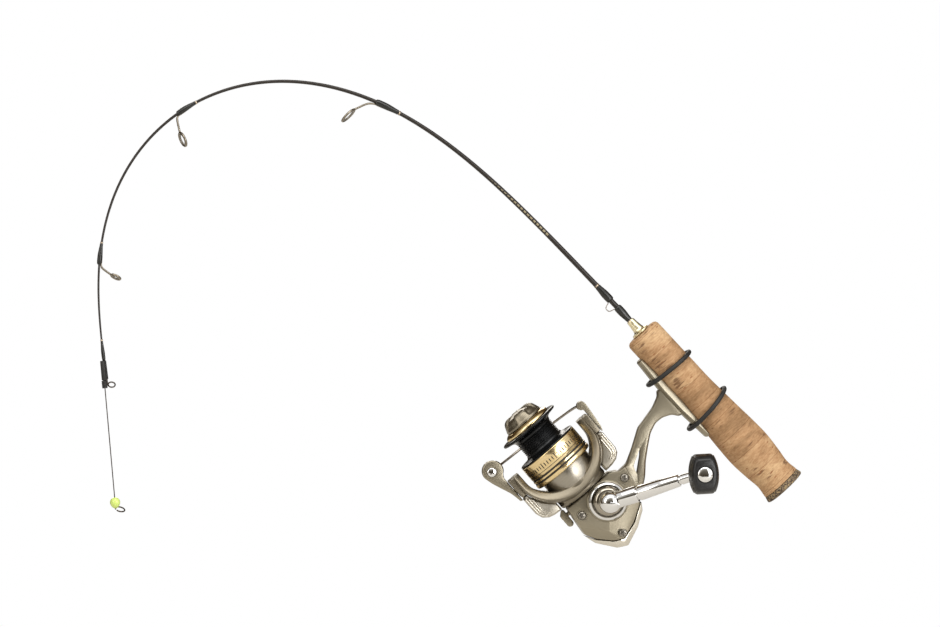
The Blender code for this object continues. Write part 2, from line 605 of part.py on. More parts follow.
def make_covers(reel):
    outline = [(8.0, 26.6)] + BODY_FRONT + SEAM + [(-12.7, 19.6), (-3.6, 24.5)]
    low = HOUSING_NEAR + GAP
    cover = add("side_cover", prism(outline, low, 11.6, 1.1), "titanium_paint", reel)
    plateau = moved(turned([(11.0, 0), (11.0, 12.0), (12.5, 11.6), (12.5, 0)], "Y", 24), (0, 0, CRANK_OFFSET))
    combine(cover, "UNION", plateau)
    combine(cover, "UNION", moved(ring(5.45, 6.6, 6.3, low + 1, "Y", 20), (0, 0, CRANK_OFFSET)))
    stub = (OSCILLATION_CENTRE[0], 0, OSCILLATION_CENTRE[1])
    combine(cover, "UNION", moved(rod(2.4, 6.2, low + 1, "Y", 10), stub))
    cuts = [moved(rod(1.35, 6.0, 16.0, "Y", 8), (x, 0, z)) for x, z in COVER_SCREWS]
    cuts.append(moved(rod(4.35, 8.0, 16.0, "Y", 18), (0, 0, CRANK_OFFSET)))
    cuts.append(moved(rod(1.5, 5.0, 9.8, "Y", 10), stub))
    combine(cover, "DIFFERENCE", joined(*cuts))
    for i, (x, z) in enumerate(COVER_SCREWS, 1):
        head = [(4.0, 0), (4.0, 1.05), (11.9, 1.05), (11.9, 2.5), (12.5, 2.45), (13.0, 1.9), (13.0, 0)]
        add(f"cover_screw_{i}", turned(head, "Y", 12), "machined_steel", reel, (x, 0, z))
    # bumper wrapped round the back of the body
    seam = [(x - 0.35, z + math.copysign(0.2, z)) for x, z in SEAM]
    back = [(-13.4, 20.3), (-17.6, 17.7), (-23.3, 9.2), (-27.6, -1.7), (-24.4, -7.5), (-14.1, -15.2),
            (-7.2, -17.0)]
    add("rear_cover", prism(seam + back, -11.0, 11.2, 0.4), "polished_silver", reel)
    add("crank_collar", ring(9.3, 11.3, 12.8, 15.2, "Y", 28, 0.6), "chrome", reel, (0, 0, CRANK_OFFSET))
    add("shaft_cap", turned([(-14.2, 0), (-14.2, 4.2), (-13.6, 5.0), (-11.3, 5.0), (-11.3, 0)], "Y", 20),
        "titanium_paint", reel, (0, 0, CRANK_OFFSET))
    for name, low in (("gear_bearing_left", -9.2), ("gear_bearing_right", 6.5)):
        add(name, ring(2.8, 5.25, low, low + 2.0, "Y", 20), "machined_steel", reel, (0, 0, CRANK_OFFSET))
    add("pinion_bearing", ring(2.5, 5.5, 11.6, 16.6, "X", 20), "machined_steel", reel)
    lever_axis = frame("anti_reverse_axis", (8.4, 0, 0), parent=reel)
    pad = prism([(x, z) for x, z in ((-6.0, -16.6), (-7.1, -18.4), (-6.0, -20.4), (1.6, -20.5), (4.1, -17.6),
                                     (3.6, -16.3))], -2.4, 2.4, 0.8)
    lever = add("anti_reverse_lever", pad, "titanium_paint", lever_axis)
    combine(lever, "UNION", rod(1.25, -17.2, -11.9, "Z", 10))


# ---------------------------------------------------------------- reel, crank

def make_crank(reel):
    axis = frame("crank_axis", (0, 0, CRANK_OFFSET), parent=reel)
    gear_face = -3.7
    shaft = [(-9.1, 0), (-9.1, 2.6), (-6.3, 2.6), (-6.3, 8.5), (gear_face, 8.5), (gear_face, 2.6),
             (12.6, 2.6), (12.6, 0)]
    gear = add("drive_gear", turned(shaft, "Y", 22), "brass", axis)
    teeth = prism(gear_outline(GEAR_TEETH, 8.8, 9.8, 0.26), gear_face - 0.3, gear_face + 0.55)
    combine(gear, "UNION", teeth)
    to_gear = math.degrees(math.atan2(OSCILLATION_CENTRE[1] - CRANK_OFFSET, OSCILLATION_CENTRE[0]))
    step = prism(gear_outline(STEP_TEETH, 3.0, 3.9, 0.22, to_gear), 3.4, 5.6)
    combine(gear, "UNION", step)
    boss = [(12.9, 0), (12.9, 2.85), (9.3, 2.85), (9.3, 4.0), (13.4, 4.0), (13.4, 8.9), (15.6, 8.9),
            (17.6, 8.0), (18.6, 6.6), (18.6, 0)]
    add("crank_boss", turned(boss, "Y", 22), "titanium_paint", axis)
    hub = [(18.9, 0), (18.9, 5.2), (20.2, 6.3), (33.0, 6.3), (35.4, 5.2), (36.9, 3.0), (37.3, 0)]
    arm = add("crank_arm", turned(hub, "Y", 18), "chrome", axis)
    along = frame("arm_axis", (0, ARM_BASE, 0), (-ARM_LEAN, CRANK_DIRECTION, 0), axis)
    bar = [(2.0, 0), (2.0, 4.2), (16.0, 4.2), (16.2, 3.5), (17.2, 3.5), (17.4, 4.15), (40.8, 3.25),
           (41.0, 2.5), (42.0, 2.5), (42.2, 2.8), (46.0, 2.7), (50.5, 2.6), (50.5, 0)]
    stretch = 1 / math.cos(math.radians(ARM_LEAN))
    combine(arm, "UNION", turned([(z * stretch, r) for z, r in bar], "Z", 12), along)
    eye = turned([(-3.0, 0), (-3.0, 3.6), (-2.5, 4.0), (2.2, 4.0), (2.8, 3.4), (2.8, 0)], "Y", 18)
    angle = math.radians(CRANK_DIRECTION)
    arm_end = ARM_BASE + CRANK_LENGTH * math.tan(math.radians(ARM_LEAN))
    knob_place = (CRANK_LENGTH * math.sin(angle), arm_end, CRANK_LENGTH * math.cos(angle))
    combine(arm, "UNION", moved(eye, knob_place), axis)
    combine(arm, "DIFFERENCE", moved(rod(1.8, -6, 6, "Y", 12), knob_place), axis)
    knob_axis = frame("knob_axis", knob_place, (0, 180 - REEL_HEADING + 3.0, 0), axis)
    spindle = [(-4.6, 0), (-4.6, 2.2), (-4.2, 2.6), (-3.3, 2.6), (-3.3, 1.5), (19.6, 1.5), (19.6, 0)]
    add("knob_spindle", turned(spindle, "Y", 12), "chrome", knob_axis)
    sections = []
    bulge = ((3.3, 0.72), (4.2, 0.84), (7.5, 0.97), (12.0, 1.0), (16.5, 0.96), (19.6, 0.86), (21.5, 0.70))
    for y, scale in bulge:
        points = []
        for i in range(20):
            a = 2 * math.pi * i / 20
            c, s = math.cos(a), math.sin(a)
            power = 2 / 2.7
            points.append((8.45 * scale * math.copysign(abs(c) ** power, c), y,
                           11.3 * scale * math.copysign(abs(s) ** power, s)))
        sections.append(points)
    knob = add("handle_knob", loft(sections), "black_plastic", knob_axis)
    bore = turned([(0, 0), (0, 1.8), (20.0, 1.8), (20.0, 4.9), (23.0, 4.9), (23.0, 0)], "Y", 18)
    combine(knob, "DIFFERENCE", bore)
    cap = [(20.3, 0), (20.3, 4.6), (21.6, 4.6), (22.3, 3.9), (22.6, 2.2), (22.7, 0)]
    add("knob_cap", turned(cap, "Y", 18), "chrome", knob_axis)


# ---------------------------------------------------------------- reel, rotor and bail

def u_point(angle, long_axis, short_axis, reach):
    """A point (x, z) on the rotor's U: straight arms up to reach, then half an ellipse."""
    if abs(angle) > 90:
        x = BAIL_PIVOT + (abs(angle) - 90) / 20 * (reach - BAIL_PIVOT)
        return x, math.copysign(short_axis, angle)
    a = math.radians(angle)
    return BAIL_PIVOT - long_axis * math.cos(a), short_axis * math.sin(a)


def make_rotor(reel):
    pinion = [(23.6, 1.45), (23.6, 2.3), (10.0, 2.3), (10.0, 2.2), (3.6, 2.2), (3.6, 1.45)]
    pin = add("pinion", turned(pinion, "X", 20, hollow=True), "brass", reel)
    teeth = []
    for i in range(PINION_TEETH):
        tooth = prism([(-0.32, 2.0), (0.32, 2.0), (0.18, 2.85), (-0.18, 2.85)], 3.7, 9.9)
        teeth.append(moved(moved(tooth, rotation=(0, 0, -90)), rotation=(360 / PINION_TEETH * i, 0, 0)))
    combine(pin, "UNION", joined(*teeth))
    sections = []
    for angle in [-110] + list(range(-90, 91, 15)) + [110]:
        outer = u_point(angle, 24.3, 27.0, 45.3)
        inner = u_point(angle, 18.5, 22.6, 45.3)
        half = 12.8 - 5.0 * min(1.0, (abs(angle) / 110) ** 2)
        soft = 0.8
        (ox, oz), (ix, iz) = outer, inner
        dx, dz = (ix - ox), (iz - oz)
        length = math.hypot(dx, dz)
        dx, dz = dx / length * soft, dz / length * soft
        sections.append([(ox, -half + soft, oz), (ox, half - soft, oz), (ox + dx, half, oz + dz),
                         (ix - dx, half, iz - dz), (ix, half - soft, iz), (ix, -half + soft, iz),
                         (ix - dx, -half, iz - dz), (ox + dx, -half, oz + dz)])
    rotor = add("rotor", loft(sections), "titanium_paint", reel)
    drum = [(12.3, 0), (12.3, 15.2), (13.4, 16.2), (19.0, 16.2), (20.6, 15.9), (37.0, 15.9), (37.0, 14.6),
            (20.4, 14.6), (20.4, 0)]
    combine(rotor, "UNION", turned(drum, "X", 24))
    for side in (1, -1):
        tip = [(33.0, 25.5), (45.3, 25.5), (45.3, 29.2), (44.8, 29.8), (33.0, 29.8)]
        combine(rotor, "UNION", prism([(x, side * z) for x, z in tip], -7.0, 7.0, 0.4))
    combine(rotor, "DIFFERENCE", rod(7.8, 8.0, 18.0, "X", 20))
    combine(rotor, "DIFFERENCE", rod(2.65, 14.0, 24.0, "X", 14))
    for side in (1, -1):
        hole = moved(rod(2.15, 24.5, 32.0, "Z", 12), (BAIL_PIVOT, 0, 0), (0 if side > 0 else 180, 0, 0))
        combine(rotor, "DIFFERENCE", hole)
    hexagon = arc((0, 0), 4.3, 0, 300, 5)
    nut = add("rotor_nut", moved(prism(hexagon, 20.7, 23.2), rotation=(0, 0, -90)), "machined_steel", reel)
    combine(nut, "DIFFERENCE", rod(2.5, 20.0, 24.0, "X", 14))
    for name, side in (("arm_cover_left", -1), ("arm_cover_right", 1)):
        outline = [(18.2, 16.9), (13.2, 16.9), (13.6, 22.0), (14.6, 25.6), (17.0, 28.6), (20.0, 29.7),
                   (31.0, 29.8), (32.4, 28.6)]
        for x in (32.4, 30.0, 27.5, 25.0, 22.5, 20.0):
            outline.append((x, 27.4 * math.sqrt(1 - ((BAIL_PIVOT - x) / 24.7) ** 2)))
        add(name, prism([(x, side * z) for x, z in outline], -8.5, 8.5), "titanium_paint", reel)


def make_bail(reel):
    axis = frame("bail_axis", (BAIL_PIVOT, 0, 0), parent=reel)
    rx, rz = ROLLER_CENTRE[0] - BAIL_PIVOT, ROLLER_CENTRE[1]
    # arm: pivot plate and paddle that carries the roller
    paddle = [(-6.5, -30.2), (10.5, -30.2), (12.5, -28.9)] + arc((rx + 0.2, rz + 0.6), 5.6, 120, -90, 9)
    paddle += [(8.0, -35.6), (1.0, -32.8), (-6.0, -31.6)]
    arm = add("bail_arm", prism(paddle, -3.4, 3.0, 0.5), "titanium_paint", axis)
    combine(arm, "UNION", moved(rod(1.85, 25.4, 31.0, "Z", 12), rotation=(180, 0, 0)))
    bore = turned([(-6, 0), (-6, 1.3), (2.2, 1.3), (2.2, 2.9), (6, 2.9), (6, 0)], "Y", 14)
    combine(arm, "DIFFERENCE", moved(bore, (rx, 0, rz)))
    roller_axis = frame("roller_axis", (rx, 0, rz), parent=axis)
    screw = [(-8.6, 0), (-8.6, 1.0), (2.5, 1.0), (2.5, 2.6), (3.4, 2.4), (3.6, 0)]
    add("roller_screw", turned(screw, "Y", 14), "chrome", roller_axis)
    roller = [(-8.0, 1.4), (-3.8, 1.4), (-3.8, 4.6), (-4.3, 4.6), (-5.2, 3.3), (-6.6, 3.3), (-7.5, 4.6),
              (-8.0, 4.6)]
    add("line_roller", turned(roller, "Y", 20, hollow=True), "chrome", roller_axis)
    # wire: cone by the roller, half-ellipse behind the spool, end in the lever's boss
    lever_x, lever_z = 12.4, 30.4
    route = []
    for i in range(21):
        t = i / 20
        a = math.pi * t
        x = lever_x + (rx - lever_x) * t ** 3
        z = lever_z * math.cos(a) - 0.6 * t
        y = -4.2 - 35.8 * math.sin(a) ** 0.9 - 9.0 * t ** 4
        route.append((x, y, z))
    line = add("bail_wire", wire(route, 0.7, 1), "chrome", axis)
    cone = turned([(-8.5, 0), (-8.5, 6.3), (-9.6, 6.6), (-12.2, 4.6), (-15.5, 2.0), (-17.0, 0)], "Y", 18)
    combine(line, "UNION", moved(cone, (rx, 0, rz + 1.0)))
    combine(line, "DIFFERENCE", moved(rod(1.3, -12.0, -6.0, "Y", 10), (rx, 0, rz)))
    shape = [(-7.0, 30.2), (10.0, 30.2), (10.6, 28.8), (12.4, 27.6), (14.6, 28.8), (15.3, 30.6),
             (14.4, 32.8), (12.4, 33.4), (4.0, 32.6), (-4.0, 31.6)]
    lever = add("bail_lever", prism(shape, -3.2, 3.2, 0.5), "titanium_paint", axis)
    combine(lever, "UNION", rod(1.85, 25.4, 31.0, "Z", 12))


# ---------------------------------------------------------------- reel, spool and shaft

def make_spool(reel):
    add("main_shaft", rod(SHAFT_RADIUS, -13.0, 69.4, "X", 14), "machined_steel", reel)
    ox, oz = OSCILLATION_CENTRE
    pin_x = ox + REST_OFFSET
    block = prism(block_outline(pin_x, 1.9, -2.6, 2.6), -2.6, 1.6)
    slider = add("oscillation_slider", block, "machined_steel", reel)
    combine(slider, "UNION", prism(block_outline(pin_x, 1.9, oz - 5.5, oz + 5.5), 1.5, 2.9))
    combine(slider, "DIFFERENCE", prism(block_outline(pin_x, 1.3, 2.0, oz + 4.9), 1.0, 4.0))
    combine(slider, "DIFFERENCE", rod(SHAFT_RADIUS + 0.22, -20, 0, "X", 14))
    osc_axis = frame("oscillation_axis", (ox, 0, oz), parent=reel)
    to_crank = math.degrees(math.atan2(CRANK_OFFSET - oz, -ox))
    half_pitch = 180 / OSCILLATION_TEETH
    wheel = prism(gear_outline(OSCILLATION_TEETH, 6.45, 7.4, 0.22, to_crank + half_pitch), 3.6, 5.4)
    wheel = add("oscillation_gear", wheel, "brass", osc_axis)
    combine(wheel, "UNION", rod(1.25, 4.5, 8.9, "Y", 10))
    pin = (REST_OFFSET, 0, math.sqrt(STROKE ** 2 - REST_OFFSET ** 2))
    combine(wheel, "UNION", moved(rod(1.1, 3.2, 4.5, "Y", 10), pin))
    spool_axis = frame("spool_axis", (0, 0, 0), parent=reel)
    profile = [(61.9, 9.2), (57.5, 9.2), (57.5, 1.45), (44.2, 1.45), (44.2, 16.6), (30.3, 16.6),
               (30.3, 17.6), (45.2, 17.6), (45.2, 18.9), (45.9, 18.8), (46.4, 15.6), (47.2, 12.7),
               (48.2, 12.2), (57.6, 12.2), (58.7, 12.7), (59.7, 14.6), (60.3, 18.1), (60.8, 18.75),
               (61.5, 18.7), (61.9, 18.2)]
    add("spool", turned(profile, "X", 24, hollow=True), "black_anodised", spool_axis)
    band = [(30.0, 17.9), (44.9, 17.9), (44.9, 19.0), (36.0, 19.0), (35.9, 18.6), (34.9, 18.6),
            (34.8, 19.1), (33.7, 19.1), (33.6, 18.6), (32.7, 18.6), (32.6, 19.2), (30.5, 19.25), (30.0, 18.8)]
    add("spool_skirt_band", turned(band, "X", 24, hollow=True), "gold_anodised", spool_axis)
    lip = [(62.2, 9.7), (65.0, 9.7), (65.0, 12.3), (64.4, 13.6), (63.2, 14.7), (62.2, 14.8)]
    add("spool_lip_ring", turned(lip, "X", 24, hollow=True), "gold_anodised", spool_axis)
    add("drag_washer", ring(1.5, 8.8, 57.8, 61.0, "X", 20), "felt", spool_axis)
    knob = [(61.4, 0), (61.4, 8.7), (65.3, 8.7), (65.3, 12.1), (66.6, 11.9), (69.8, 10.6), (71.6, 9.2),
            (72.4, 7.2), (72.4, 0)]
    knob = add("drag_knob", turned(knob, "X", 24), "titanium_paint", spool_axis)
    combine(knob, "DIFFERENCE", rod(SHAFT_RADIUS + 0.25, 60.0, 69.9, "X", 16))


def main():
    for old in list(bpy.data.objects):
        bpy.data.objects.remove(old, do_unlink=True)
    grip = frame("grip_frame", rotation=heading_rotation(GRIP_HEADING))
    reel = frame("reel_frame", REEL_CENTRE, heading_rotation(REEL_HEADING))
    make_grip(grip)
    make_blank()
    make_keeper()
    for number, guide in enumerate(GUIDES, 1):
        make_guide(number, *guide)
    make_tip()
    make_indicator()
    make_orings(grip)
    make_housing(reel, grip)
    make_covers(reel)
    make_crank(reel)
    make_rotor(reel)
    make_bail(reel)
    make_spool(reel)


main()
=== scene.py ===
import json
import math

import bmesh
import bpy
from mathutils import Matrix, Vector


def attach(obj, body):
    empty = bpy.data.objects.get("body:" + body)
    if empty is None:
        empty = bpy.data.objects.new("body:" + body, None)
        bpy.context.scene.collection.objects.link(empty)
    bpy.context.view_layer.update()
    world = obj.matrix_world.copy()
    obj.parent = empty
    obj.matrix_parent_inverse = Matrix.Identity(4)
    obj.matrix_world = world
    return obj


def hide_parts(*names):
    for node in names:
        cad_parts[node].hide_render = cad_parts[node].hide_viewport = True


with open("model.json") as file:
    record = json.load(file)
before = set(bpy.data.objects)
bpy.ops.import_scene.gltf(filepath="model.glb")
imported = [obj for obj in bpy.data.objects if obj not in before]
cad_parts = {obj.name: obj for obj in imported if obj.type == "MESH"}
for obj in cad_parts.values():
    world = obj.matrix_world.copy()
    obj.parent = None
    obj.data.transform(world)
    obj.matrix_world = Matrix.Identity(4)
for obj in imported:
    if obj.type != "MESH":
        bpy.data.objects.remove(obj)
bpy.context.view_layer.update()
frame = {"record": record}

# an ice fishing rod with its spinning reel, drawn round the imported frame
mm = 0.001
record = frame["record"]
homeOf = {node: body for body, nodes in record["behaviour"]["bodies"].items() for node in nodes}
slotOf = {part["node"]: part["material_slot"] for part in record["subparts"]}
print("frame loaded,", len(homeOf), "nodes")


# local frames: X forward, Y to the crank side, Z away from the reel, lengths in millimetres
def localFrame(origin, heading):
    angle = math.radians(heading)
    along = Vector((math.cos(angle), 0, math.sin(angle)))
    away = Vector((math.sin(angle), 0, -math.cos(angle)))
    axes = Matrix((along, away.cross(along), away)).transposed().to_4x4()
    return Matrix.Scale(mm, 4) @ Matrix.Translation(origin) @ axes


placing = {"gripHeading": 132.9, "reelHeading": 131.0, "reelCentre": (-52.3, 0.0, -70.7)}
world = Matrix.Scale(mm, 4)
gripFrame = localFrame((0, 0, 0), placing["gripHeading"])
reelFrame = localFrame(placing["reelCentre"], placing["reelHeading"])


# mesh tools, all in millimetres

def rounded(points, radius, steps=3, closed=False):
    # eases every corner of a line of (x, y) points
    points = [Vector(p) for p in points]
    count = len(points)
    line = []
    for i, point in enumerate(points):
        if not closed and i in (0, count - 1):
            line.append(tuple(point))
            continue
        before = points[i - 1] - point
        after = points[(i + 1) % count] - point
        reach = min(radius, before.length * 0.45, after.length * 0.45)
        start = point + before.normalized() * reach
        end = point + after.normalized() * reach
        for k in range(steps + 1):
            t = k / steps
            line.append(tuple(start * (1 - t) ** 2 + point * 2 * t * (1 - t) + end * t ** 2))
    return line


def smoothPath(points, perSpan=8):
    # an even curve through every point
    points = [Vector(p) for p in points]
    padded = [points[0] * 2 - points[1]] + points + [points[-1] * 2 - points[-2]]
    path = []
    for a, b, c, d in zip(padded, padded[1:], padded[2:], padded[3:]):
        for i in range(perSpan):
            t = i / perSpan
            path.append(0.5 * (b * 2 + (c - a) * t + (a * 2 - b * 5 + c * 4 - d) * t ** 2
                               + (b * 3 - a - c * 3 + d) * t ** 3))
    return path + [points[-1]]


def arc(x, y, radius, start, end, steps=12):
    angles = [math.radians(start + (end - start) * i / steps) for i in range(steps + 1)]
    return [(x + radius * math.cos(a), y + radius * math.sin(a)) for a in angles]


def skin(rings, closed=False):
    # quads between rings of points; a ring of one point is a pole
    bm = bmesh.new()
    made = [[bm.verts.new(point) for point in ring] for ring in rings]
    pairs = list(zip(made, made[1:])) + ([(made[-1], made[0])] if closed else [])
    for low, high in pairs:
        count = max(len(low), len(high))
        for i in range(count):
            j = (i + 1) % count
            corners = [low[i % len(low)], low[j % len(low)], high[j % len(high)], high[i % len(high)]]
            bm.faces.new(dict.fromkeys(corners))
    if not closed:
        for ring in (made[0][::-1], made[-1]):
            if len(ring) > 2:
                bm.faces.new(ring)
    bmesh.ops.recalc_face_normals(bm, faces=bm.faces)
    return bm


def lathe(profile, steps=64, axis="X", closed=False):
    # turns a profile of (along, radius) points round an axis; closed joins its last point to its first
    rings = []
    for along, radius in profile:
        ring = []
        for i in range(1 if radius < 1e-6 else steps):
            a = 2 * math.pi * i / steps
            c, s = radius * math.cos(a), radius * math.sin(a)
            ring.append({"X": (along, c, s), "Y": (s, along, c), "Z": (c, s, along)}[axis])
        rings.append(ring)
    return skin(rings, closed=closed)


def tube(points, radius, sides=12, closed=False, flat=1.0):
    # a wire along a path, its frame carried along without twist; flat widens it sideways
    points = [Vector(p) for p in points]
    count = len(points)
    side = None
    rings = []
    for i, point in enumerate(points):
        ahead = points[(i + 1) % count] if closed or i < count - 1 else point
        behind = points[i - 1] if closed or i > 0 else point
        tangent = (ahead - behind).normalized()
        if side is None:
            side = tangent.orthogonal().normalized() if abs(tangent.y) > 0.9 else Vector((0, 1, 0))
        side = (side - tangent * side.dot(tangent)).normalized()
        up = tangent.cross(side)
        here = radius[i] if isinstance(radius, list) else radius
        rings.append([point + side * here * flat * math.cos(a) + up * here * math.sin(a)
                      for a in (2 * math.pi * k / sides for k in range(sides))])
    return skin(rings, closed=closed)


def slab(outline, low, high, bevel=0.0, segments=3):
    # an outline of (x, z) points drawn out along Y, rims eased
    bm = bmesh.new()
    face = bm.faces.new([bm.verts.new((x, low, z)) for x, z in outline])
    grown = bmesh.ops.extrude_face_region(bm, geom=[face])
    raised = [item for item in grown["geom"] if isinstance(item, bmesh.types.BMVert)]
    bmesh.ops.translate(bm, verts=raised, vec=(0, high - low, 0))
    bmesh.ops.recalc_face_normals(bm, faces=bm.faces)
    if bevel:
        rims = [e for e in bm.edges if abs(e.verts[0].co.y - e.verts[1].co.y) < 1e-6]
        bmesh.ops.bevel(bm, geom=rims, offset=bevel, segments=segments, affect="EDGES", profile=0.5,
                        clamp_overlap=True)
    return bm


def shift(bm, x=0.0, y=0.0, z=0.0):
    bmesh.ops.translate(bm, verts=bm.verts, vec=(x, y, z))
    return bm


def turn(bm, angle, axis):
    bmesh.ops.transform(bm, matrix=Matrix.Rotation(math.radians(angle), 4, axis), verts=bm.verts)
    return bm


def joined(*parts):
    whole = bmesh.new()
    for part in parts:
        mesh = bpy.data.meshes.new("part")
        part.to_mesh(mesh)
        part.free()
        whole.from_mesh(mesh)
        bpy.data.meshes.remove(mesh)
    return whole


def sliced(bm, point, normal):
    # takes away what lies beyond a plane and closes the cut
    whole = bm.verts[:] + bm.edges[:] + bm.faces[:]
    cut = bmesh.ops.bisect_plane(bm, geom=whole, plane_co=point, plane_no=normal, clear_outer=True)
    edges = [item for item in cut["geom_cut"] if isinstance(item, bmesh.types.BMEdge)]
    bmesh.ops.contextual_create(bm, geom=edges)
    bmesh.ops.recalc_face_normals(bm, faces=bm.faces)
    return bm


def holder(data):
    made = bpy.data.objects.new("holder", data)
    bpy.context.scene.collection.objects.link(made)
    return made


def evaluated(made):
    # the plain mesh that an object's modifiers give
    bpy.context.view_layer.update()
    graph = bpy.context.evaluated_depsgraph_get()
    return bpy.data.meshes.new_from_object(made.evaluated_get(graph), depsgraph=graph)


def toMesh(bm):
    mesh = bpy.data.meshes.new("mesh")
    bm.to_mesh(mesh)
    bm.free()
    return mesh


def worked(bm, kind, tool=None, **settings):
    # runs one modifier on a mesh in the making; tool is a Boolean's other solid
    holders = [holder(toMesh(bm))]
    modifier = holders[0].modifiers.new("work", kind)
    for key, value in settings.items():
        setattr(modifier, key, value)
    if tool:
        holders.append(holder(toMesh(tool)))
        modifier.object = holders[1]
        modifier.solver = "EXACT"
    mesh = evaluated(holders[0])
    made = bmesh.new()
    made.from_mesh(mesh)
    for old in holders:
        bpy.data.objects.remove(old)
    bpy.data.meshes.remove(mesh)
    return made


def carved(bm, tool):
    return worked(bm, "BOOLEAN", tool, operation="DIFFERENCE")


def softened(bm, width, segments=2, angle=35):
    bmesh.ops.dissolve_limit(bm, angle_limit=math.radians(1.0), verts=bm.verts, edges=bm.edges)
    return worked(bm, "BEVEL", width=width, segments=segments, limit_method="ANGLE",
                  angle_limit=math.radians(angle), harden_normals=False)


def finishPiece(name, source, place, finish, *nodes, like=None, slot=None):
    # places a finished mesh and gives it its material; it stands in for its CAD nodes, or else it
    # rides with the node it is like; slot is not used
    bm = source
    if isinstance(source, bpy.types.Mesh):
        bm = bmesh.new()
        bm.from_mesh(source)
    bmesh.ops.remove_doubles(bm, verts=bm.verts, dist=2e-4)
    bmesh.ops.recalc_face_normals(bm, faces=bm.faces)
    mesh = bpy.data.meshes.new(name)
    bm.to_mesh(mesh)
    bm.free()
    mesh.transform(place)
    mesh.materials.clear()
    mesh.materials.append(finish)
    mesh.shade_smooth()
    mesh.set_sharp_from_angle(angle=math.radians(38))
    piece = bpy.data.objects.new(name, mesh)
    bpy.context.scene.collection.objects.link(piece)
    owner = nodes[0] if nodes else like
    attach(piece, homeOf[owner])
    if nodes:
        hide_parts(*nodes)


# Geometry Nodes tools

def addNode(tree, kind, values=None, links=None, **settings):
    # one node with its settings, socket values and links
    made = tree.nodes.new(kind)
    for key, value in settings.items():
        setattr(made, key, value)
    for key, value in (values or {}).items():
        made.inputs[key].default_value = value
    for key, source in (links or {}).items():
        tree.links.new(source, made.inputs[key])
    return made


def newTree(name, **inputs):
    # an empty tree with an input for each value; a text value is the kind of its socket
    tree = bpy.data.node_groups.new(name, "GeometryNodeTree")
    tree.interface.new_socket(name="Geometry", in_out="INPUT", socket_type="NodeSocketGeometry")
    tree.interface.new_socket(name="Geometry", in_out="OUTPUT", socket_type="NodeSocketGeometry")
    for key, value in inputs.items():
        kind = "NodeSocketInt" if isinstance(value, int) else "NodeSocketFloat"
        if isinstance(value, str):
            kind = value
        made = tree.interface.new_socket(name=key, in_out="INPUT", socket_type=kind)
        if not isinstance(value, str):
            made.default_value = value
    return tree, tree.nodes.new("NodeGroupInput")


def closeTree(tree, source, inputs):
    # every tree ends in real geometry with its material
    real = addNode(tree, "GeometryNodeRealizeInstances", links={0: source})
    painted = addNode(tree, "GeometryNodeSetMaterial", links={"Geometry": real.outputs[0],
                                                              "Material": inputs.outputs["Finish"]})
    addNode(tree, "NodeGroupOutput", links={0: painted.outputs[0]})


def runTree(tree, data, **values):
    # runs a tree on some data with its inputs set, and gives back the plain mesh
    made = holder(data)
    modifier = made.modifiers.new("build", "NODES")
    modifier.node_group = tree
    for item in tree.interface.items_tree:
        if item.in_out == "INPUT" and item.name in values:
            modifier[item.identifier] = values[item.name]
    mesh = evaluated(made)
    bpy.data.objects.remove(made)
    return mesh


def pathCurve(points):
    curve = bpy.data.curves.new("path", "CURVE")
    curve.dimensions = "3D"
    spline = curve.splines.new("POLY")
    spline.points.add(len(points) - 1)
    for target, point in zip(spline.points, points):
        target.co = (*point, 1.0)
    return curve


# finishes

def linear(hexColour):
    # sRGB hex to the linear colour that the shader wants
    channels = [int(hexColour[i:i + 2], 16) / 255 for i in (0, 2, 4)]
    return (*[c / 12.92 if c <= 0.04045 else ((c + 0.055) / 1.055) ** 2.4 for c in channels], 1.0)


def newFinish(name, colour, metallic, roughness, **sockets):
    # a material with its even values set; a socket's name has _ for its spaces
    made = bpy.data.materials.new(name)
    made.use_nodes = True
    tree = made.node_tree
    shader = tree.nodes["Principled BSDF"]
    shader.inputs["Base Color"].default_value = linear(colour)
    shader.inputs["Metallic"].default_value = metallic
    shader.inputs["Roughness"].default_value = roughness
    for key, value in sockets.items():
        shader.inputs[key.replace("_", " ")].default_value = value
    return made, tree, shader


def placed(tree, heading=None, scale=(1, 1, 1)):
    # Object coordinates, turned so that X runs along a heading
    where = addNode(tree, "ShaderNodeTexCoord")
    turned = (0, math.radians(heading), 0) if heading else (0, 0, 0)
    mapped = addNode(tree, "ShaderNodeMapping", {"Rotation": turned}, {"Vector": where.outputs["Object"]})
    spread = addNode(tree, "ShaderNodeVectorMath", {1: scale}, {0: mapped.outputs[0]}, operation="MULTIPLY")
    return spread.outputs[0]


def ramp(tree, source, *stops, interpolation="LINEAR"):
    # colours at stops of (place, hex)
    made = addNode(tree, "ShaderNodeValToRGB", links={0: source})
    made.color_ramp.interpolation = interpolation
    elements = made.color_ramp.elements
    while len(elements) < len(stops):
        elements.new(0.5)
    for element, (place, colour) in zip(elements, stops):
        element.position = place
        element.color = linear(colour)
    return made.outputs[0]


def relief(tree, shader, height, distance, strength=1.0):
    bump = addNode(tree, "ShaderNodeBump", {"Strength": strength, "Distance": distance}, {"Height": height})
    tree.links.new(bump.outputs[0], shader.inputs["Normal"])


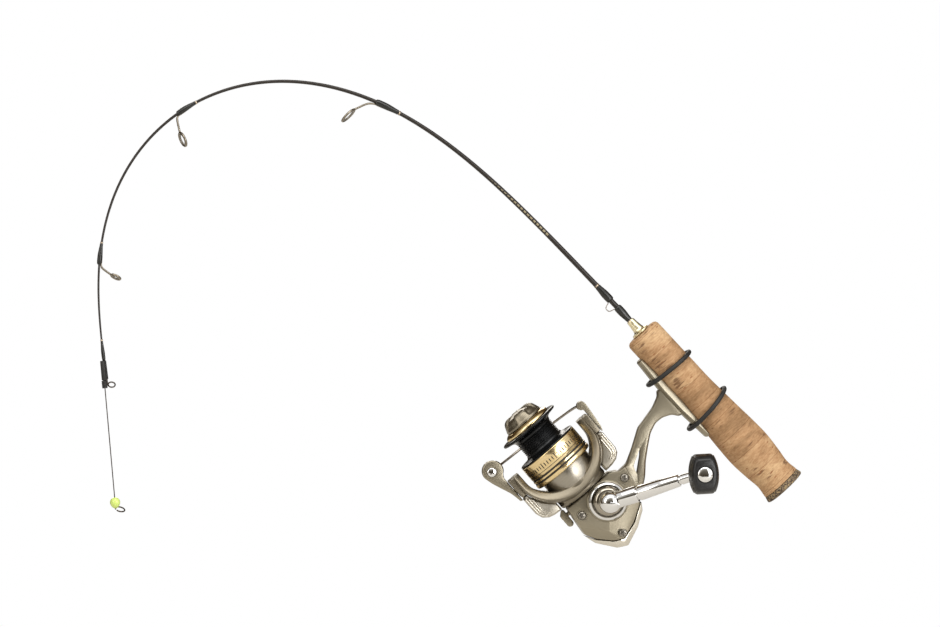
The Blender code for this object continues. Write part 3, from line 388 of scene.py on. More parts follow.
def makeCork():
    # natural cork rings, sanded: warm tan with dark lenticels across the grip and faint glue joints
    look = {"light": "C6A57E", "mid": "AF8A65", "dark": "90704F", "lenticel": "5E3F2A", "ring": 12.7,
            "roughness": 0.78}
    made, tree, shader = newFinish("ringCork", look["mid"], 0.0, look["roughness"],
                                   Specular_IOR_Level=0.3)
    along = placed(tree, placing["gripHeading"], (1.0, 1.0, 1.0))
    stretched = placed(tree, placing["gripHeading"], (1.0, 0.28, 0.28))
    split = addNode(tree, "ShaderNodeSeparateXYZ", links={0: along})
    rings = addNode(tree, "ShaderNodeMath", {1: 1000 / look["ring"]}, {0: split.outputs[0]}, operation="MULTIPLY")
    whole = addNode(tree, "ShaderNodeMath", links={0: rings.outputs[0]}, operation="FLOOR")
    tint = addNode(tree, "ShaderNodeTexWhiteNoise", links={"W": whole.outputs[0]}, noise_dimensions="1D")
    patches = addNode(tree, "ShaderNodeTexNoise", {"Scale": 170.0, "Detail": 4.0, "Roughness": 0.6, "Distortion": 0.4},
                      {"Vector": stretched})
    shade = addNode(tree, "ShaderNodeMath", {1: 0.3, 2: -0.05}, {0: tint.outputs["Value"]}, operation="MULTIPLY_ADD")
    level = addNode(tree, "ShaderNodeMath", {2: 0.0}, {0: patches.outputs[0], 1: shade.outputs[0]}, operation="ADD")
    base = ramp(tree, level.outputs[0], (0.34, look["dark"]), (0.58, look["mid"]), (0.82, look["light"]))
    # fine grain, about half a millimetre
    grain = addNode(tree, "ShaderNodeTexNoise", {"Scale": 1500.0, "Detail": 3.0}, {"Vector": stretched})
    speckle = ramp(tree, grain.outputs[0], (0.35, "C9B8A6"), (0.6, "FFFFFF"))
    grained = addNode(tree, "ShaderNodeMix", {0: 0.5}, {6: base, 7: speckle}, data_type="RGBA", blend_type="MULTIPLY")
    # lenticels: thin dark cracks, longest across the grip, gathered in some rings
    cracks = addNode(tree, "ShaderNodeTexNoise", {"Scale": 420.0, "Detail": 5.0, "Roughness": 0.55, "Distortion": 0.8},
                     {"Vector": placed(tree, placing["gripHeading"], (1.0, 0.14, 0.14))})
    where = addNode(tree, "ShaderNodeTexNoise", {"Scale": 70.0, "Detail": 1.0}, {"Vector": along})
    both = addNode(tree, "ShaderNodeMath", links={0: cracks.outputs[0], 1: where.outputs[0]}, operation="MULTIPLY")
    crackMask = ramp(tree, both.outputs[0], (0.345, "000000"), (0.40, "E0E0E0"))
    cracked = addNode(tree, "ShaderNodeMix", links={0: crackMask, 6: grained.outputs[2]}, data_type="RGBA")
    cracked.inputs[7].default_value = linear(look["lenticel"])
    # pores, a millimetre or so apart in clusters
    pores = addNode(tree, "ShaderNodeTexVoronoi", {"Scale": 330.0, "Randomness": 1.0}, {"Vector": stretched})
    poreMask = ramp(tree, pores.outputs["Distance"], (0.07, "FFFFFF"), (0.14, "000000"))
    spotted = addNode(tree, "ShaderNodeMix", links={0: poreMask, 6: cracked.outputs[2]}, data_type="RGBA")
    spotted.inputs[7].default_value = linear("8A5C3C")
    # glue joints between the rings
    part = addNode(tree, "ShaderNodeMath", links={0: rings.outputs[0]}, operation="FRACT")
    jointLine = ramp(tree, part.outputs[0], (0.0, "9A7456"), (0.035, "FFFFFF"))
    lined = addNode(tree, "ShaderNodeMix", {0: 0.8}, {6: spotted.outputs[2], 7: jointLine}, data_type="RGBA",
                    blend_type="MULTIPLY")
    tree.links.new(lined.outputs[2], shader.inputs["Base Color"])
    depth = addNode(tree, "ShaderNodeMath", {1: -1.2}, {0: crackMask, 2: grain.outputs[0]}, operation="MULTIPLY_ADD")
    relief(tree, shader, depth.outputs[0], 0.00022, 0.7)
    return made


def makeBurl():
    # burl cork: rubbed chips of dark and light cork pressed together, a little under a millimetre each
    made, tree, shader = newFinish("burlCork", "6E6250", 0.0, 0.82, Specular_IOR_Level=0.3)
    chips = addNode(tree, "ShaderNodeTexVoronoi", {"Scale": 1250.0, "Randomness": 1.0}, {"Vector": placed(tree)})
    split = addNode(tree, "ShaderNodeSeparateColor", links={0: chips.outputs["Color"]})
    base = ramp(tree, split.outputs[0], (0.0, "43382D"), (0.3, "5F5142"), (0.6, "776753"), (0.85, "95815F"),
                interpolation="CONSTANT")
    tree.links.new(base, shader.inputs["Base Color"])
    relief(tree, shader, chips.outputs["Distance"], 0.0002, 0.5)
    return made


def makeGraphite():
    # rolled graphite under clear varnish: near-black brown, glossy, with faint tape ridges and a
    # cream row of dashes on the near side
    look = {"colour": "2A241E", "ridge": 0.9, "stripe": "8F8468", "stripeFrom": 78.0, "stripeTo": 172.0}
    made, tree, shader = newFinish("varnishedGraphite", look["colour"], 0.0, 0.38, Coat_Weight=0.25,
                                   Coat_Roughness=0.12, Specular_IOR_Level=0.35)
    station = addNode(tree, "ShaderNodeAttribute", attribute_name="station").outputs["Fac"]
    where = placed(tree)
    split = addNode(tree, "ShaderNodeSeparateXYZ", links={0: where})
    near = addNode(tree, "ShaderNodeMath", {1: -0.00128}, {0: split.outputs[1]}, operation="LESS_THAN")
    after = addNode(tree, "ShaderNodeMath", {1: look["stripeFrom"]}, {0: station}, operation="GREATER_THAN")
    before = addNode(tree, "ShaderNodeMath", {1: look["stripeTo"]}, {0: station}, operation="LESS_THAN")
    dash = addNode(tree, "ShaderNodeMath", {1: 1 / 2.6}, {0: station}, operation="MULTIPLY")
    dashes = addNode(tree, "ShaderNodeMath", links={0: dash.outputs[0]}, operation="FRACT")
    drawn = addNode(tree, "ShaderNodeMath", {1: 0.62}, {0: dashes.outputs[0]}, operation="LESS_THAN")
    mask = near.outputs[0]
    for other in (after, before, drawn):
        mask = addNode(tree, "ShaderNodeMath", links={0: mask, 1: other.outputs[0]}, operation="MULTIPLY").outputs[0]
    streaks = addNode(tree, "ShaderNodeTexNoise", {"Scale": 900.0, "Detail": 2.0}, {"Vector": where})
    base = ramp(tree, streaks.outputs[0], (0.3, "181310"), (0.7, "261F19"))
    painted = addNode(tree, "ShaderNodeMix", links={0: mask, 6: base}, data_type="RGBA")
    painted.inputs[7].default_value = linear(look["stripe"])
    tree.links.new(painted.outputs[2], shader.inputs["Base Color"])
    wave = addNode(tree, "ShaderNodeMath", {1: 2 * math.pi / look["ridge"]}, {0: station}, operation="MULTIPLY")
    ridges = addNode(tree, "ShaderNodeMath", links={0: wave.outputs[0]}, operation="SINE")
    relief(tree, shader, ridges.outputs[0], 0.000001, 0.3)
    return made


def makeWrap():
    # black nylon thread under clear epoxy: mirror-glossy, the turns showing faintly underneath
    made, tree, shader = newFinish("epoxiedThread", "151614", 0.0, 0.4, Coat_Weight=0.45, Coat_Roughness=0.06,
                                   Specular_IOR_Level=0.35)
    station = addNode(tree, "ShaderNodeAttribute", attribute_name="station").outputs["Fac"]
    # thread 0.3 mm apart, drawn a little coarse so that it shows
    wave = addNode(tree, "ShaderNodeMath", {1: 2 * math.pi / 0.45}, {0: station}, operation="MULTIPLY")
    ridges = addNode(tree, "ShaderNodeMath", links={0: wave.outputs[0]}, operation="SINE")
    base = ramp(tree, ridges.outputs[0], (0.0, "0D0E0D"), (1.0, "1C1C1A"))
    tree.links.new(base, shader.inputs["Base Color"])
    relief(tree, shader, ridges.outputs[0], 0.000003, 0.3)
    return made


def makeMetal(name, colour, roughness, heading=None, brush=None, variation=0.12, bumpSize=0.0, grainScale=900.0,
              fleck=None, metallic=1.0, **sockets):
    # a metal or metallic surface: roughness varies with a fine noise, and colour between two flecks;
    # brush stretches the noise along X, Y, Z, such as round a turned piece
    made, tree, shader = newFinish(name, colour, metallic, roughness, **sockets)
    where = placed(tree, heading, brush or (1, 1, 1))
    noise = addNode(tree, "ShaderNodeTexNoise", {"Scale": grainScale, "Detail": 3.0, "Roughness": 0.6},
                    {"Vector": where})
    rough = addNode(tree, "ShaderNodeMapRange", {"From Min": 0.3, "From Max": 0.7,
                                                 "To Min": roughness * (1 - variation * 2),
                                                 "To Max": roughness * (1 + variation * 2)},
                    {"Value": noise.outputs[0]})
    tree.links.new(rough.outputs[0], shader.inputs["Roughness"])
    if fleck:
        base = ramp(tree, noise.outputs[0], (0.36, fleck[0]), (0.64, fleck[1]))
        tree.links.new(base, shader.inputs["Base Color"])
    if bumpSize:
        relief(tree, shader, noise.outputs[0], bumpSize, 0.6)
    return made


def makePlastic(name, colour, roughness, grainScale, bumpSize, darker, **sockets):
    # moulded or rubber surface: an even colour broken by a fine grain and handling marks
    made, tree, shader = newFinish(name, colour, 0.0, roughness, **sockets)
    where = placed(tree)
    grain = addNode(tree, "ShaderNodeTexNoise", {"Scale": grainScale, "Detail": 4.0, "Roughness": 0.7},
                    {"Vector": where})
    marks = addNode(tree, "ShaderNodeTexNoise", {"Scale": grainScale * 0.08, "Detail": 3.0}, {"Vector": where})
    base = ramp(tree, marks.outputs[0], (0.35, darker), (0.65, colour))
    tree.links.new(base, shader.inputs["Base Color"])
    rough = addNode(tree, "ShaderNodeMapRange", {"From Min": 0.3, "From Max": 0.7, "To Min": roughness * 0.8,
                                                 "To Max": min(1.0, roughness * 1.2)}, {"Value": marks.outputs[0]})
    tree.links.new(rough.outputs[0], shader.inputs["Roughness"])
    relief(tree, shader, grain.outputs[0], bumpSize, 0.6)
    return made


reelTurned = {"heading": placing["reelHeading"], "brush": (1.0, 0.03, 0.03)}
cork = makeCork()
burlCork = makeBurl()
graphite = makeGraphite()
epoxyWrap = makeWrap()
# champagne metallic lacquer on die-cast aluminium: satin, with a fine sparkle of flakes
champagne = makeMetal("champagneLacquer", "958D7B", 0.34, grainScale=5200.0, fleck=("8F8775", "9B9381"),
                      variation=0.06, metallic=0.9, Coat_Weight=0.4, Coat_Roughness=0.15)
# the same lacquer painted darker on the rotor and the drag knob: painted shade
shadeDarkenedLacquer = makeMetal("shadeDarkenedLacquer", "7E7666", 0.36, grainScale=5200.0, fleck=("787061", "847C6C"),
                         variation=0.06, metallic=0.9, Coat_Weight=0.3, Coat_Roughness=0.2)
# paler satin lacquer on the two arm covers
paleLacquer = makeMetal("paleLacquer", "BFB9AC", 0.3, grainScale=5200.0, fleck=("B9B3A6", "C5BFB2"),
                        variation=0.06, metallic=0.9, Coat_Weight=0.3, Coat_Roughness=0.15)
# the rotor's cup: grey metallic lacquer with turning marks that show as soft vertical bands of light
satinCup = makeMetal("satinGreyCup", "9F998D", 0.3, **reelTurned, fleck=("9B9589", "A49E93"), variation=0.05,
                     grainScale=2400.0)
# bright nickel plate on the rear bumper: nearly white reflections, few marks
silverPlate = makeMetal("nickelPlate", "D6D1C6", 0.18, grainScale=300.0)
# decorative chrome plate on the crank: hard black and white reflections with faint wipe marks
chrome = makeMetal("chromePlate", "E2E2E2", 0.05, grainScale=240.0, variation=0.35)
# smoked chrome on the crank's boss: the same mirror, a third darker
smokedChrome = makeMetal("smokedChrome", "A39C90", 0.12, grainScale=240.0, variation=0.3)
# gold anodised aluminium, diamond turned: warm streaked highlight round the skirt
goldAnodised = makeMetal("goldAnodised", "E6CF9F", 0.2, **reelTurned, fleck=("E0C793", "ECD7AB"),
                         variation=0.06, grainScale=2400.0)
# black anodised aluminium on the spool: dark satin with soft turned rings
blackAnodised = makeMetal("blackAnodised", "1B1C1D", 0.24, **reelTurned, fleck=("141516", "27282A"), metallic=0.7,
                          bumpSize=0.000004)
# polished brass winding check with a pale gold wash
paleGold = makeMetal("paleGoldCheck", "EFE3BE", 0.32, grainScale=600.0, fleck=("EADDB4", "F3E9CB"))
# smoked stainless guide wire: dark, bright where it faces the light
guideSteel = makeMetal("smokedStainless", "8F877A", 0.3, grainScale=1400.0, fleck=("8A8275", "958D80"))
# polished dark ceramic insert: glassy, nearly black
ceramic = makePlastic("guideCeramic", "6A645B", 0.15, 900.0, 0.000001, "625C53", Coat_Weight=0.4)
# moulded rubber bands: matt black, a little dusty
rubber = makePlastic("blackRubber", "262626", 0.55, 2600.0, 0.00002, "1B1B1B", Specular_IOR_Level=0.4)
# soft-touch moulded knob: black with a broad sheen
softBlack = makePlastic("softTouchBlack", "1E1E1F", 0.38, 3200.0, 0.000012, "161617", Specular_IOR_Level=0.45)
# tempered spring wire, bright on the hook keeper and dark at the tip
springWire = makeMetal("springWire", "9A928B", 0.28, grainScale=1800.0, fleck=("857E78", "B0A8A0"))
darkWire = makeMetal("darkWire", "4A433C", 0.35, grainScale=1800.0, fleck=("39332D", "59514A"))
# zinc-plated screw heads
screwSteel = makeMetal("zincScrew", "8A857C", 0.3, grainScale=1500.0, fleck=("77726A", "9C978E"))
# nickel-plated wire and trim, its colour painted down to grey as painted shade, so that it stands out from a white room
darkPlate = makeMetal("greyNickel", "8F887E", 0.16, grainScale=600.0, fleck=("857E74", "9A938A"))
# turned steel and cut brass inside the reel: clean, with a dull grain
machinedSteel = makeMetal("machinedSteel", "A8A8A6", 0.3, grainScale=1500.0, fleck=("96968F", "B8B8B4"))
brass = makeMetal("cutBrass", "B5964E", 0.3, grainScale=1200.0, fleck=("A2853F", "C6A75E"))
# fluorescent bead: bright yellow-green that light soaks into
bead = makePlastic("chartreuseBead", "CEE083", 0.25, 60.0, 0.000001, "C8DB78", Subsurface_Weight=0.1,
                   Subsurface_Radius=(0.002, 0.0026, 0.0006), Subsurface_Scale=0.5)
# pressed wool felt drag washer: matt, fibrous
felt = makePlastic("pressedFelt", "8A8272", 0.95, 4200.0, 0.0001, "766F60", Sheen_Weight=0.3)
# dark lines: printed marks, and painted shade in the band's grooves
inkAndShadeBlack = makePlastic("blackInkAndShade", "1E1912", 0.45, 1500.0, 0.000004, "171310")
print("finishes made")


# the bent blank: its heading and place at even stations, lengths in millimetres from the grip's front
blank = {"length": 494.0, "front": 40.25, "bendStart": 133.6, "bend": 143.6, "rise": 2.74, "fall": 1.41,
         "buttRadius": 1.65, "tipRadius": 0.48}


def bendBlank(steps=400):
    weights = [(i / steps) ** blank["rise"] * (1 - i / steps) ** blank["fall"] for i in range(steps + 1)]
    soFar = [0.0]
    for low, high in zip(weights, weights[1:]):
        soFar.append(soFar[-1] + (low + high) / 2)
    headings = [math.radians(blank["bendStart"] + blank["bend"] * share / soFar[-1]) for share in soFar]
    start = math.radians(placing["gripHeading"])
    points = [Vector((math.cos(start), 0, math.sin(start))) * blank["front"]]
    for low, high in zip(headings, headings[1:]):
        middle = (low + high) / 2
        points.append(points[-1] + Vector((math.cos(middle), 0, math.sin(middle))) * blank["length"] / steps)
    return headings, points


blankHeadings, blankLine = bendBlank()


def station(distance):
    position = min(max(distance / blank["length"], 0.0), 1.0) * (len(blankLine) - 1)
    low = min(int(position), len(blankLine) - 2)
    share = position - low
    heading = blankHeadings[low] * (1 - share) + blankHeadings[low + 1] * share
    extra = distance - min(max(distance, 0.0), blank["length"])
    point = blankLine[low].lerp(blankLine[low + 1], share)
    return point + Vector((math.cos(heading), 0, math.sin(heading))) * extra, heading


def blankRadius(distance):
    share = min(max(distance / blank["length"], 0.0), 1.0)
    return blank["buttRadius"] - (blank["buttRadius"] - blank["tipRadius"]) * share ** 0.85


def bent(bm):
    # bends a piece made along X, its x the station, onto the blank, and keeps the station for patterns
    kept = bm.verts.layers.float.get("station") or bm.verts.layers.float.new("station")
    for vert in bm.verts:
        x, y, z = vert.co
        point, heading = station(x)
        vert[kept] = x
        vert.co = point + Vector((math.sin(heading), 0, -math.cos(heading))) * z + Vector((0, -y, 0))
    return bm


def stationFrame(distance):
    point, heading = station(distance)
    return localFrame(point, math.degrees(heading))


# grip, turned from profile points of (along, radius)
grip = {"rear": -78.2, "bore": 2.0,
        "shape": ((-5.0, 11.0), (-17.3, 11.6), (-28.8, 12.2), (-40.0, 12.9), (-51.8, 13.2), (-63.3, 12.2),
                  (-70.7, 11.3), (-76.5, 11.9), (-81.1, 12.9))}
swell = [(40.25, 0, 8.4), (40.1, 0, 9.4), (39.4, 0, 10.4), (38.2, 0, 10.95), (36.0, 0, 11.0), (22.0, 0, 11.0),
         (8.0, 0, 11.0)]
swell = swell[:4] + smoothPath(swell[4:] + [(x, 0, r) for x, r in grip["shape"]], 5)
gripLine = [(p[0], p[2]) for p in swell if p[0] > grip["rear"] + 0.3]
corkProfile = [(40.25, grip["bore"])] + gripLine + [(grip["rear"] + 0.15, 12.1), (grip["rear"], 11.9),
                                                    (grip["rear"], grip["bore"])]
finishPiece("turnedCorkGrip", lathe(corkProfile, 96, closed=True), gripFrame, cork, "cork_handle")
cap = [(-78.35, 0), (-78.35, 11.7), (-78.5, 12.15), (-79.6, 12.45), (-81.0, 12.85), (-81.6, 12.75), (-82.0, 12.3),
       (-82.2, 11.4), (-82.2, 0)]
finishPiece("burlButtCap", lathe(cap, 72), gripFrame, burlCork, "butt_cap")
check = [(0.3, 1.9), (9.3, 1.9), (9.55, 2.05), (9.55, 2.25), (9.2, 2.4), (6.5, 2.65), (3.6, 3.0), (2.4, 3.35),
         (1.8, 4.0), (1.6, 4.9), (1.3, 5.35), (0.85, 5.45), (0.4, 5.3), (0.3, 5.1)]
finishPiece("windingCheck", lathe([(40.25 + x, r) for x, r in check], 64, closed=True), gripFrame, paleGold,
            "winding_check")
print("grip made")


# blank, swept along its path and tapered past the grip; its hidden root runs back through the cork
root = 116.25
sweep = {"rootRadius": blank["buttRadius"], "endRadius": blank["tipRadius"], "reach": root + blank["length"],
         "straight": root / (root + blank["length"]), "firstStation": -root, "sides": 20}
blankTree, given = newTree("blankTree", **sweep, Finish="NodeSocketMaterial")
factor = addNode(blankTree, "GeometryNodeSplineParameter").outputs["Factor"]
along = addNode(blankTree, "ShaderNodeMapRange", {"To Min": 0.0, "To Max": 1.0},
                {"Value": factor, "From Min": given.outputs["straight"]})
bowed = addNode(blankTree, "ShaderNodeMath", {1: 0.85}, {0: along.outputs[0]}, operation="POWER")
thin = addNode(blankTree, "ShaderNodeMapRange", links={"Value": bowed.outputs[0],
                                                       "To Min": given.outputs["rootRadius"],
                                                       "To Max": given.outputs["endRadius"]})
where = addNode(blankTree, "ShaderNodeMath", links={0: factor, 1: given.outputs["reach"],
                                                    2: given.outputs["firstStation"]}, operation="MULTIPLY_ADD")
kept = addNode(blankTree, "GeometryNodeStoreNamedAttribute", {"Name": "station"},
               {"Geometry": given.outputs["Geometry"], "Value": where.outputs[0]}, data_type="FLOAT",
               domain="POINT")
circle = addNode(blankTree, "GeometryNodeCurvePrimitiveCircle", {"Radius": 1.0},
                 {"Resolution": given.outputs["sides"]})
swept = addNode(blankTree, "GeometryNodeCurveToMesh", {"Fill Caps": True},
                {"Curve": kept.outputs[0], "Profile Curve": circle.outputs[0], "Scale": thin.outputs[0]})
closeTree(blankTree, swept.outputs[0], given)

heading = math.radians(placing["gripHeading"])
insideGrip = [Vector((math.cos(heading), 0, math.sin(heading))) * x for x in range(-76, 40, 4)]
blankPath = insideGrip + [station(blank["length"] * i / 240)[0] for i in range(241)]
finishPiece("taperedBlank", runTree(blankTree, pathCurve(blankPath), **sweep, Finish=graphite), world, graphite,
            "rod_blank")
print("blank swept")


# thread wraps under epoxy, with a metallic trim band beside each
def epoxySleeve(start, end, clearance, thickness, fullAtEnd=True):
    # a domed coat of epoxy: thin at its ends, full over the guide's foot
    inner = [(start + (end - start) * i / 8, blankRadius(start) + clearance) for i in range(9)]
    outer = []
    for i in range(17):
        share = (1 - math.cos(math.pi * i / 16)) / 2
        along = start + (end - start) * share
        towards = share if fullAtEnd else 1 - share
        rise = min(1.0, towards / 0.6)
        close = min(1.0, (1 - towards) / 0.16)
        dome = rise * rise * (3 - 2 * rise) * (1 - (1 - close) ** 2) ** 0.5
        outer.append((along, blankRadius(along) + clearance + thickness * (0.22 + 0.9 * dome)))
    return bent(lathe(inner + outer[::-1], 24, closed=True))


wraps = {"keeperWrapRear": ("keeper_wrap_rear", 10.4, 20.6, 0.12, 0.62, True),
         "keeperWrapFront": ("keeper_wrap_front", 25.6, 36.4, 0.12, 0.62, False),
         "guideWrapFirst": ("guide_wrap_1", 189.8, 204.1, 0.12, 0.62, True),
         "guideWrapMiddle": ("guide_wrap_2", 311.7, 323.7, 0.12, 0.62, True),
         "guideWrapLast": ("guide_wrap_3", 412.3, 424.4, 0.12, 0.62, True),
         "tipWrap": ("tip_wrap", 468.5, 479.6, 0.1, 0.4, True)}
for name, (node, *sizes) in wraps.items():
    finishPiece(name, epoxySleeve(*sizes), world, epoxyWrap, node)

trimWidth, threadPitch = 0.9, 0.16
winding = {"turns": trimWidth / threadPitch, "radius": 2.0, "length": trimWidth, "thread": 0.085, "around": 26,
           "sides": 6}
windingTree, given = newTree("windingTree", **winding, Finish="NodeSocketMaterial")
helix = addNode(windingTree, "GeometryNodeCurveSpiral", links={"Resolution": given.outputs["around"],
                                                               "Rotations": given.outputs["turns"],
                                                               "Start Radius": given.outputs["radius"],
                                                               "End Radius": given.outputs["radius"],
                                                               "Height": given.outputs["length"]})
strand = addNode(windingTree, "GeometryNodeCurvePrimitiveCircle",
                 links={"Resolution": given.outputs["sides"], "Radius": given.outputs["thread"]})
wound = addNode(windingTree, "GeometryNodeCurveToMesh", {"Fill Caps": True},
                {"Curve": helix.outputs[0], "Profile Curve": strand.outputs[0]})
laid = addNode(windingTree, "GeometryNodeTransform", {"Rotation": (0, math.pi / 2, 0)},
               {"Geometry": wound.outputs[0]})
closeTree(windingTree, laid.outputs[0], given)
# thread with a metal core: a fine bright band
trimThread = makeMetal("metallicTrimThread", "CDBDA6", 0.3, grainScale=3000.0, fleck=("B5A48D", "E6DACA"))
trims = {"keeperTrimRear": 9.2, "keeperTrimFront": 36.9, "guideTrimFirst": 188.6, "guideTrimMiddle": 310.6,
         "guideTrimLast": 411.3, "tipTrim": 467.4}
for name, start in trims.items():
    winding["radius"] = blankRadius(start) + 0.13
    thread = runTree(windingTree, bpy.data.meshes.new("none"), **winding, Finish=trimThread)
    finishPiece(name, thread, stationFrame(start), trimThread, like="guide_frame_1")
print("wraps wound")


# hook keeper: a flat-bottomed U of wire under two wraps
keeper = {"wire": 0.3, "clearance": 0.4, "depth": 3.3}
seat = blankRadius(20) + keeper["clearance"]
deep = seat + keeper["depth"]
route = [(14.6, seat), (18.0, seat), (20.4, seat + 0.05), (21.0, seat + 1.3), (21.4, deep - 0.8), (22.2, deep),
         (24.0, deep), (24.8, deep - 0.8), (25.2, seat + 1.3), (25.8, seat + 0.05), (28.2, seat), (31.6, seat)]
keeperPath = smoothPath([(x, 0, -z) for x, z in route], 6)
finishPiece("hookKeeper", bent(tube(keeperPath, keeper["wire"], 12)), world, springWire, "hook_keeper")


# guides: end of the wrap, outer radius, ring centre ahead and below, lean of the ring, its turn on the leg
guides = {1: (204.1, 5.45, 11.4, 13.4, 22.6, 15.0), 2: (323.7, 4.75, 5.9, 13.7, 12.6, -18.0),
          3: (424.4, 3.5, 6.4, 9.9, 21.7, -20.0)}
guideWire, lipRadius = 0.62, 0.42
for number, (end, outer, ahead, below, lean, twist) in guides.items():
    seat = blankRadius(end) + 0.56
    down = Vector((math.sin(math.radians(lean)), 0, -math.cos(math.radians(lean))))
    centre = Vector((ahead, 0, -below))
    hoopRadius = outer - guideWire
    turning = Matrix.Translation(centre) @ Matrix.Rotation(math.radians(twist), 4, down)
    hoop = tube([down * hoopRadius * math.cos(a) + Vector((0, 1, 0)) * hoopRadius * math.sin(a)
                 for a in (2 * math.pi * i / 64 for i in range(64))], guideWire, 14, closed=True)
    bmesh.ops.transform(hoop, matrix=turning, verts=hoop.verts)
    top = centre - down * (hoopRadius + 0.1)
    leg = smoothPath([(-5.0, 0, -seat), (-2.0, 0, -seat), (0.6, 0, -seat),
                      (top.x * 0.45, 0, -seat + (top.z + seat) * 0.22), top], 10)
    legRadius = [0.42 + 0.2 * min(1.0, max(0.0, (i - 14) / 12)) for i in range(len(leg))]
    place = stationFrame(end)
    finishPiece(f"guideFrame{number}", joined(hoop, tube(leg, legRadius, 14, flat=1.15)), place, guideSteel,
                f"guide_frame_{number}")
    # the ceramic insert: a round-lipped ring a little wider than its steel hoop
    inside = hoopRadius - guideWire - 0.05
    lip = [(x * 1.25, r) for x, r in arc(0.0, inside - lipRadius, lipRadius, 0, 345, 23)]
    insert = turn(lathe(lip, 56, closed=True), math.degrees(math.atan2(-down.z, down.x)) - 90, "Y")
    bmesh.ops.transform(insert, matrix=turning, verts=insert.verts)
    finishPiece(f"guideInsert{number}", insert, place, ceramic, f"guide_ring_{number}")
print("guides made")


# tip-top and strike indicator
indicator = {"heading": 275.0, "outward": 1.40, "near": 2.12, "wire": 0.3, "loopWire": 0.42, "loop": 2.7,
             "bead": 2.95, "beadAt": 65.8, "ribs": 4}
tipStations = [480.2 + 13.6 * i / 10 for i in range(11)]
tipProfile = [(s, 0.62) for s in tipStations] + [(s, 0.8) for s in tipStations[::-1]]
tipPoint, tipHeading = station(493.8)
tipPlace = localFrame(tipPoint, math.degrees(tipHeading))
down = Vector((math.sin(math.radians(10)), 0, -math.cos(math.radians(10))))
across = Vector((math.cos(math.radians(10)), 0.9, math.sin(math.radians(10)))).normalized()
loopCentre = Vector((-0.3, 0, -0.6)) + down * 2.1
loop = tube([loopCentre + down * 2.0 * math.cos(a) + across * 1.9 * math.sin(a)
             for a in (2 * math.pi * i / 48 for i in range(48))], 0.42, 12, closed=True)
bmesh.ops.transform(loop, matrix=world.inverted() @ tipPlace, verts=loop.verts)
finishPiece("tipTop", joined(bent(lathe(tipProfile, 24, closed=True)), loop), world, darkWire, "tip_top")

tip = station(blank["length"])[0]
turned = math.radians(indicator["heading"])
forward = Vector((math.cos(turned), 0, math.sin(turned)))
outward = Vector((math.sin(turned), 0, -math.cos(turned)))
base = tip - forward * 3.2 + outward * indicator["outward"] + Vector((0, -indicator["near"], 0))
indicatorPlace = localFrame(base, indicator["heading"])
barrel = lathe([(-11.2, 0.95), (-11.2, 1.2), (-11.1, 1.36), (-10.9, 1.45), (-0.3, 1.45), (-0.1, 1.36), (0, 1.2),
                (0, 0.95)], 32, closed=True)
slip = bent(lathe([(479.6, 0.97), (479.6, 1.12), (479.9, 1.25), (490.1, 1.25), (490.4, 1.12), (490.4, 0.97)], 28,
                  closed=True))
bmesh.ops.transform(slip, matrix=indicatorPlace.inverted() @ world, verts=slip.verts)
finishPiece("indicatorSleeve", joined(barrel, slip), indicatorPlace, rubber, "indicator_sleeve")

# knurled grommet: raised rings cut with small lengthwise notches
grommet = [(-7.0, 0), (-7.0, 0.78), (0.3, 0.78), (0.3, 1.4)]
for i in range(indicator["ribs"]):
    x = 0.45 + i * 0.95
    grommet += [(x, 1.62), (x + 0.08, 1.65), (x + 0.47, 1.65), (x + 0.55, 1.62), (x + 0.65, 1.45), (x + 0.85, 1.45)]
grommet += [(4.45, 1.65), (4.6, 1.4), (4.6, 0.85), (3.4, 0.85), (3.4, 0)]
knurled = lathe(grommet, 48)
for vert in knurled.verts:
    out = math.hypot(vert.co.y, vert.co.z)
    if out > 1.5:
        step = round(math.degrees(math.atan2(vert.co.z, vert.co.y)) / 7.5)
        pinch = 0.94 if step % 4 == 0 else 1.0
        vert.co.y *= pinch
        vert.co.z *= pinch
finishPiece("indicatorGrommet", knurled, indicatorPlace, rubber, "indicator_grommet")

mouth = indicatorPlace @ Matrix.Translation((4.6, 0, 0))
beadAt, beadSize = indicator["beadAt"], indicator["bead"]
beadProfile = [(beadAt - beadSize * 0.985, 0.45)]
for degrees in range(12, 160, 6):
    a = math.radians(degrees)
    tail = 0.55 * max(0.0, -math.cos(a)) ** 3
    beadProfile.append((beadAt - beadSize * math.cos(a) + tail, beadSize * math.sin(a)))
beadProfile += [(beadAt + beadSize + 0.4, 0.75), (beadAt + beadSize + 0.5, 0.6), (beadAt + beadSize + 0.5, 0.45)]
finishPiece("indicatorBead", lathe(beadProfile, 48, closed=True), mouth, bead, "indicator_bead")
side = Vector((0.3, 0, -0.954))
cross = Vector((0.42, 0.9, 0.13)).normalized()
shankEnd = beadAt + beadSize + 0.9
loopStart = math.radians(160)
eye = Vector((shankEnd, 0, 0)) - (side * math.cos(loopStart) + cross * math.sin(loopStart)) * indicator["loop"]
wirePath = [Vector((x, 0, 0)) for x in (-0.9, beadAt * 0.25, beadAt * 0.5, beadAt * 0.75, beadAt, shankEnd)]
wirePath += [eye + (side * math.cos(a) + cross * math.sin(a)) * indicator["loop"]
             for a in (loopStart + math.radians(i * 11) for i in range(31))]
thickness = [indicator["wire"]] * 5 + [indicator["loopWire"]] * (len(wirePath) - 5)
finishPiece("indicatorWire", tube(wirePath, thickness, 12), mouth, darkWire, "indicator_wire")
print("indicator made")


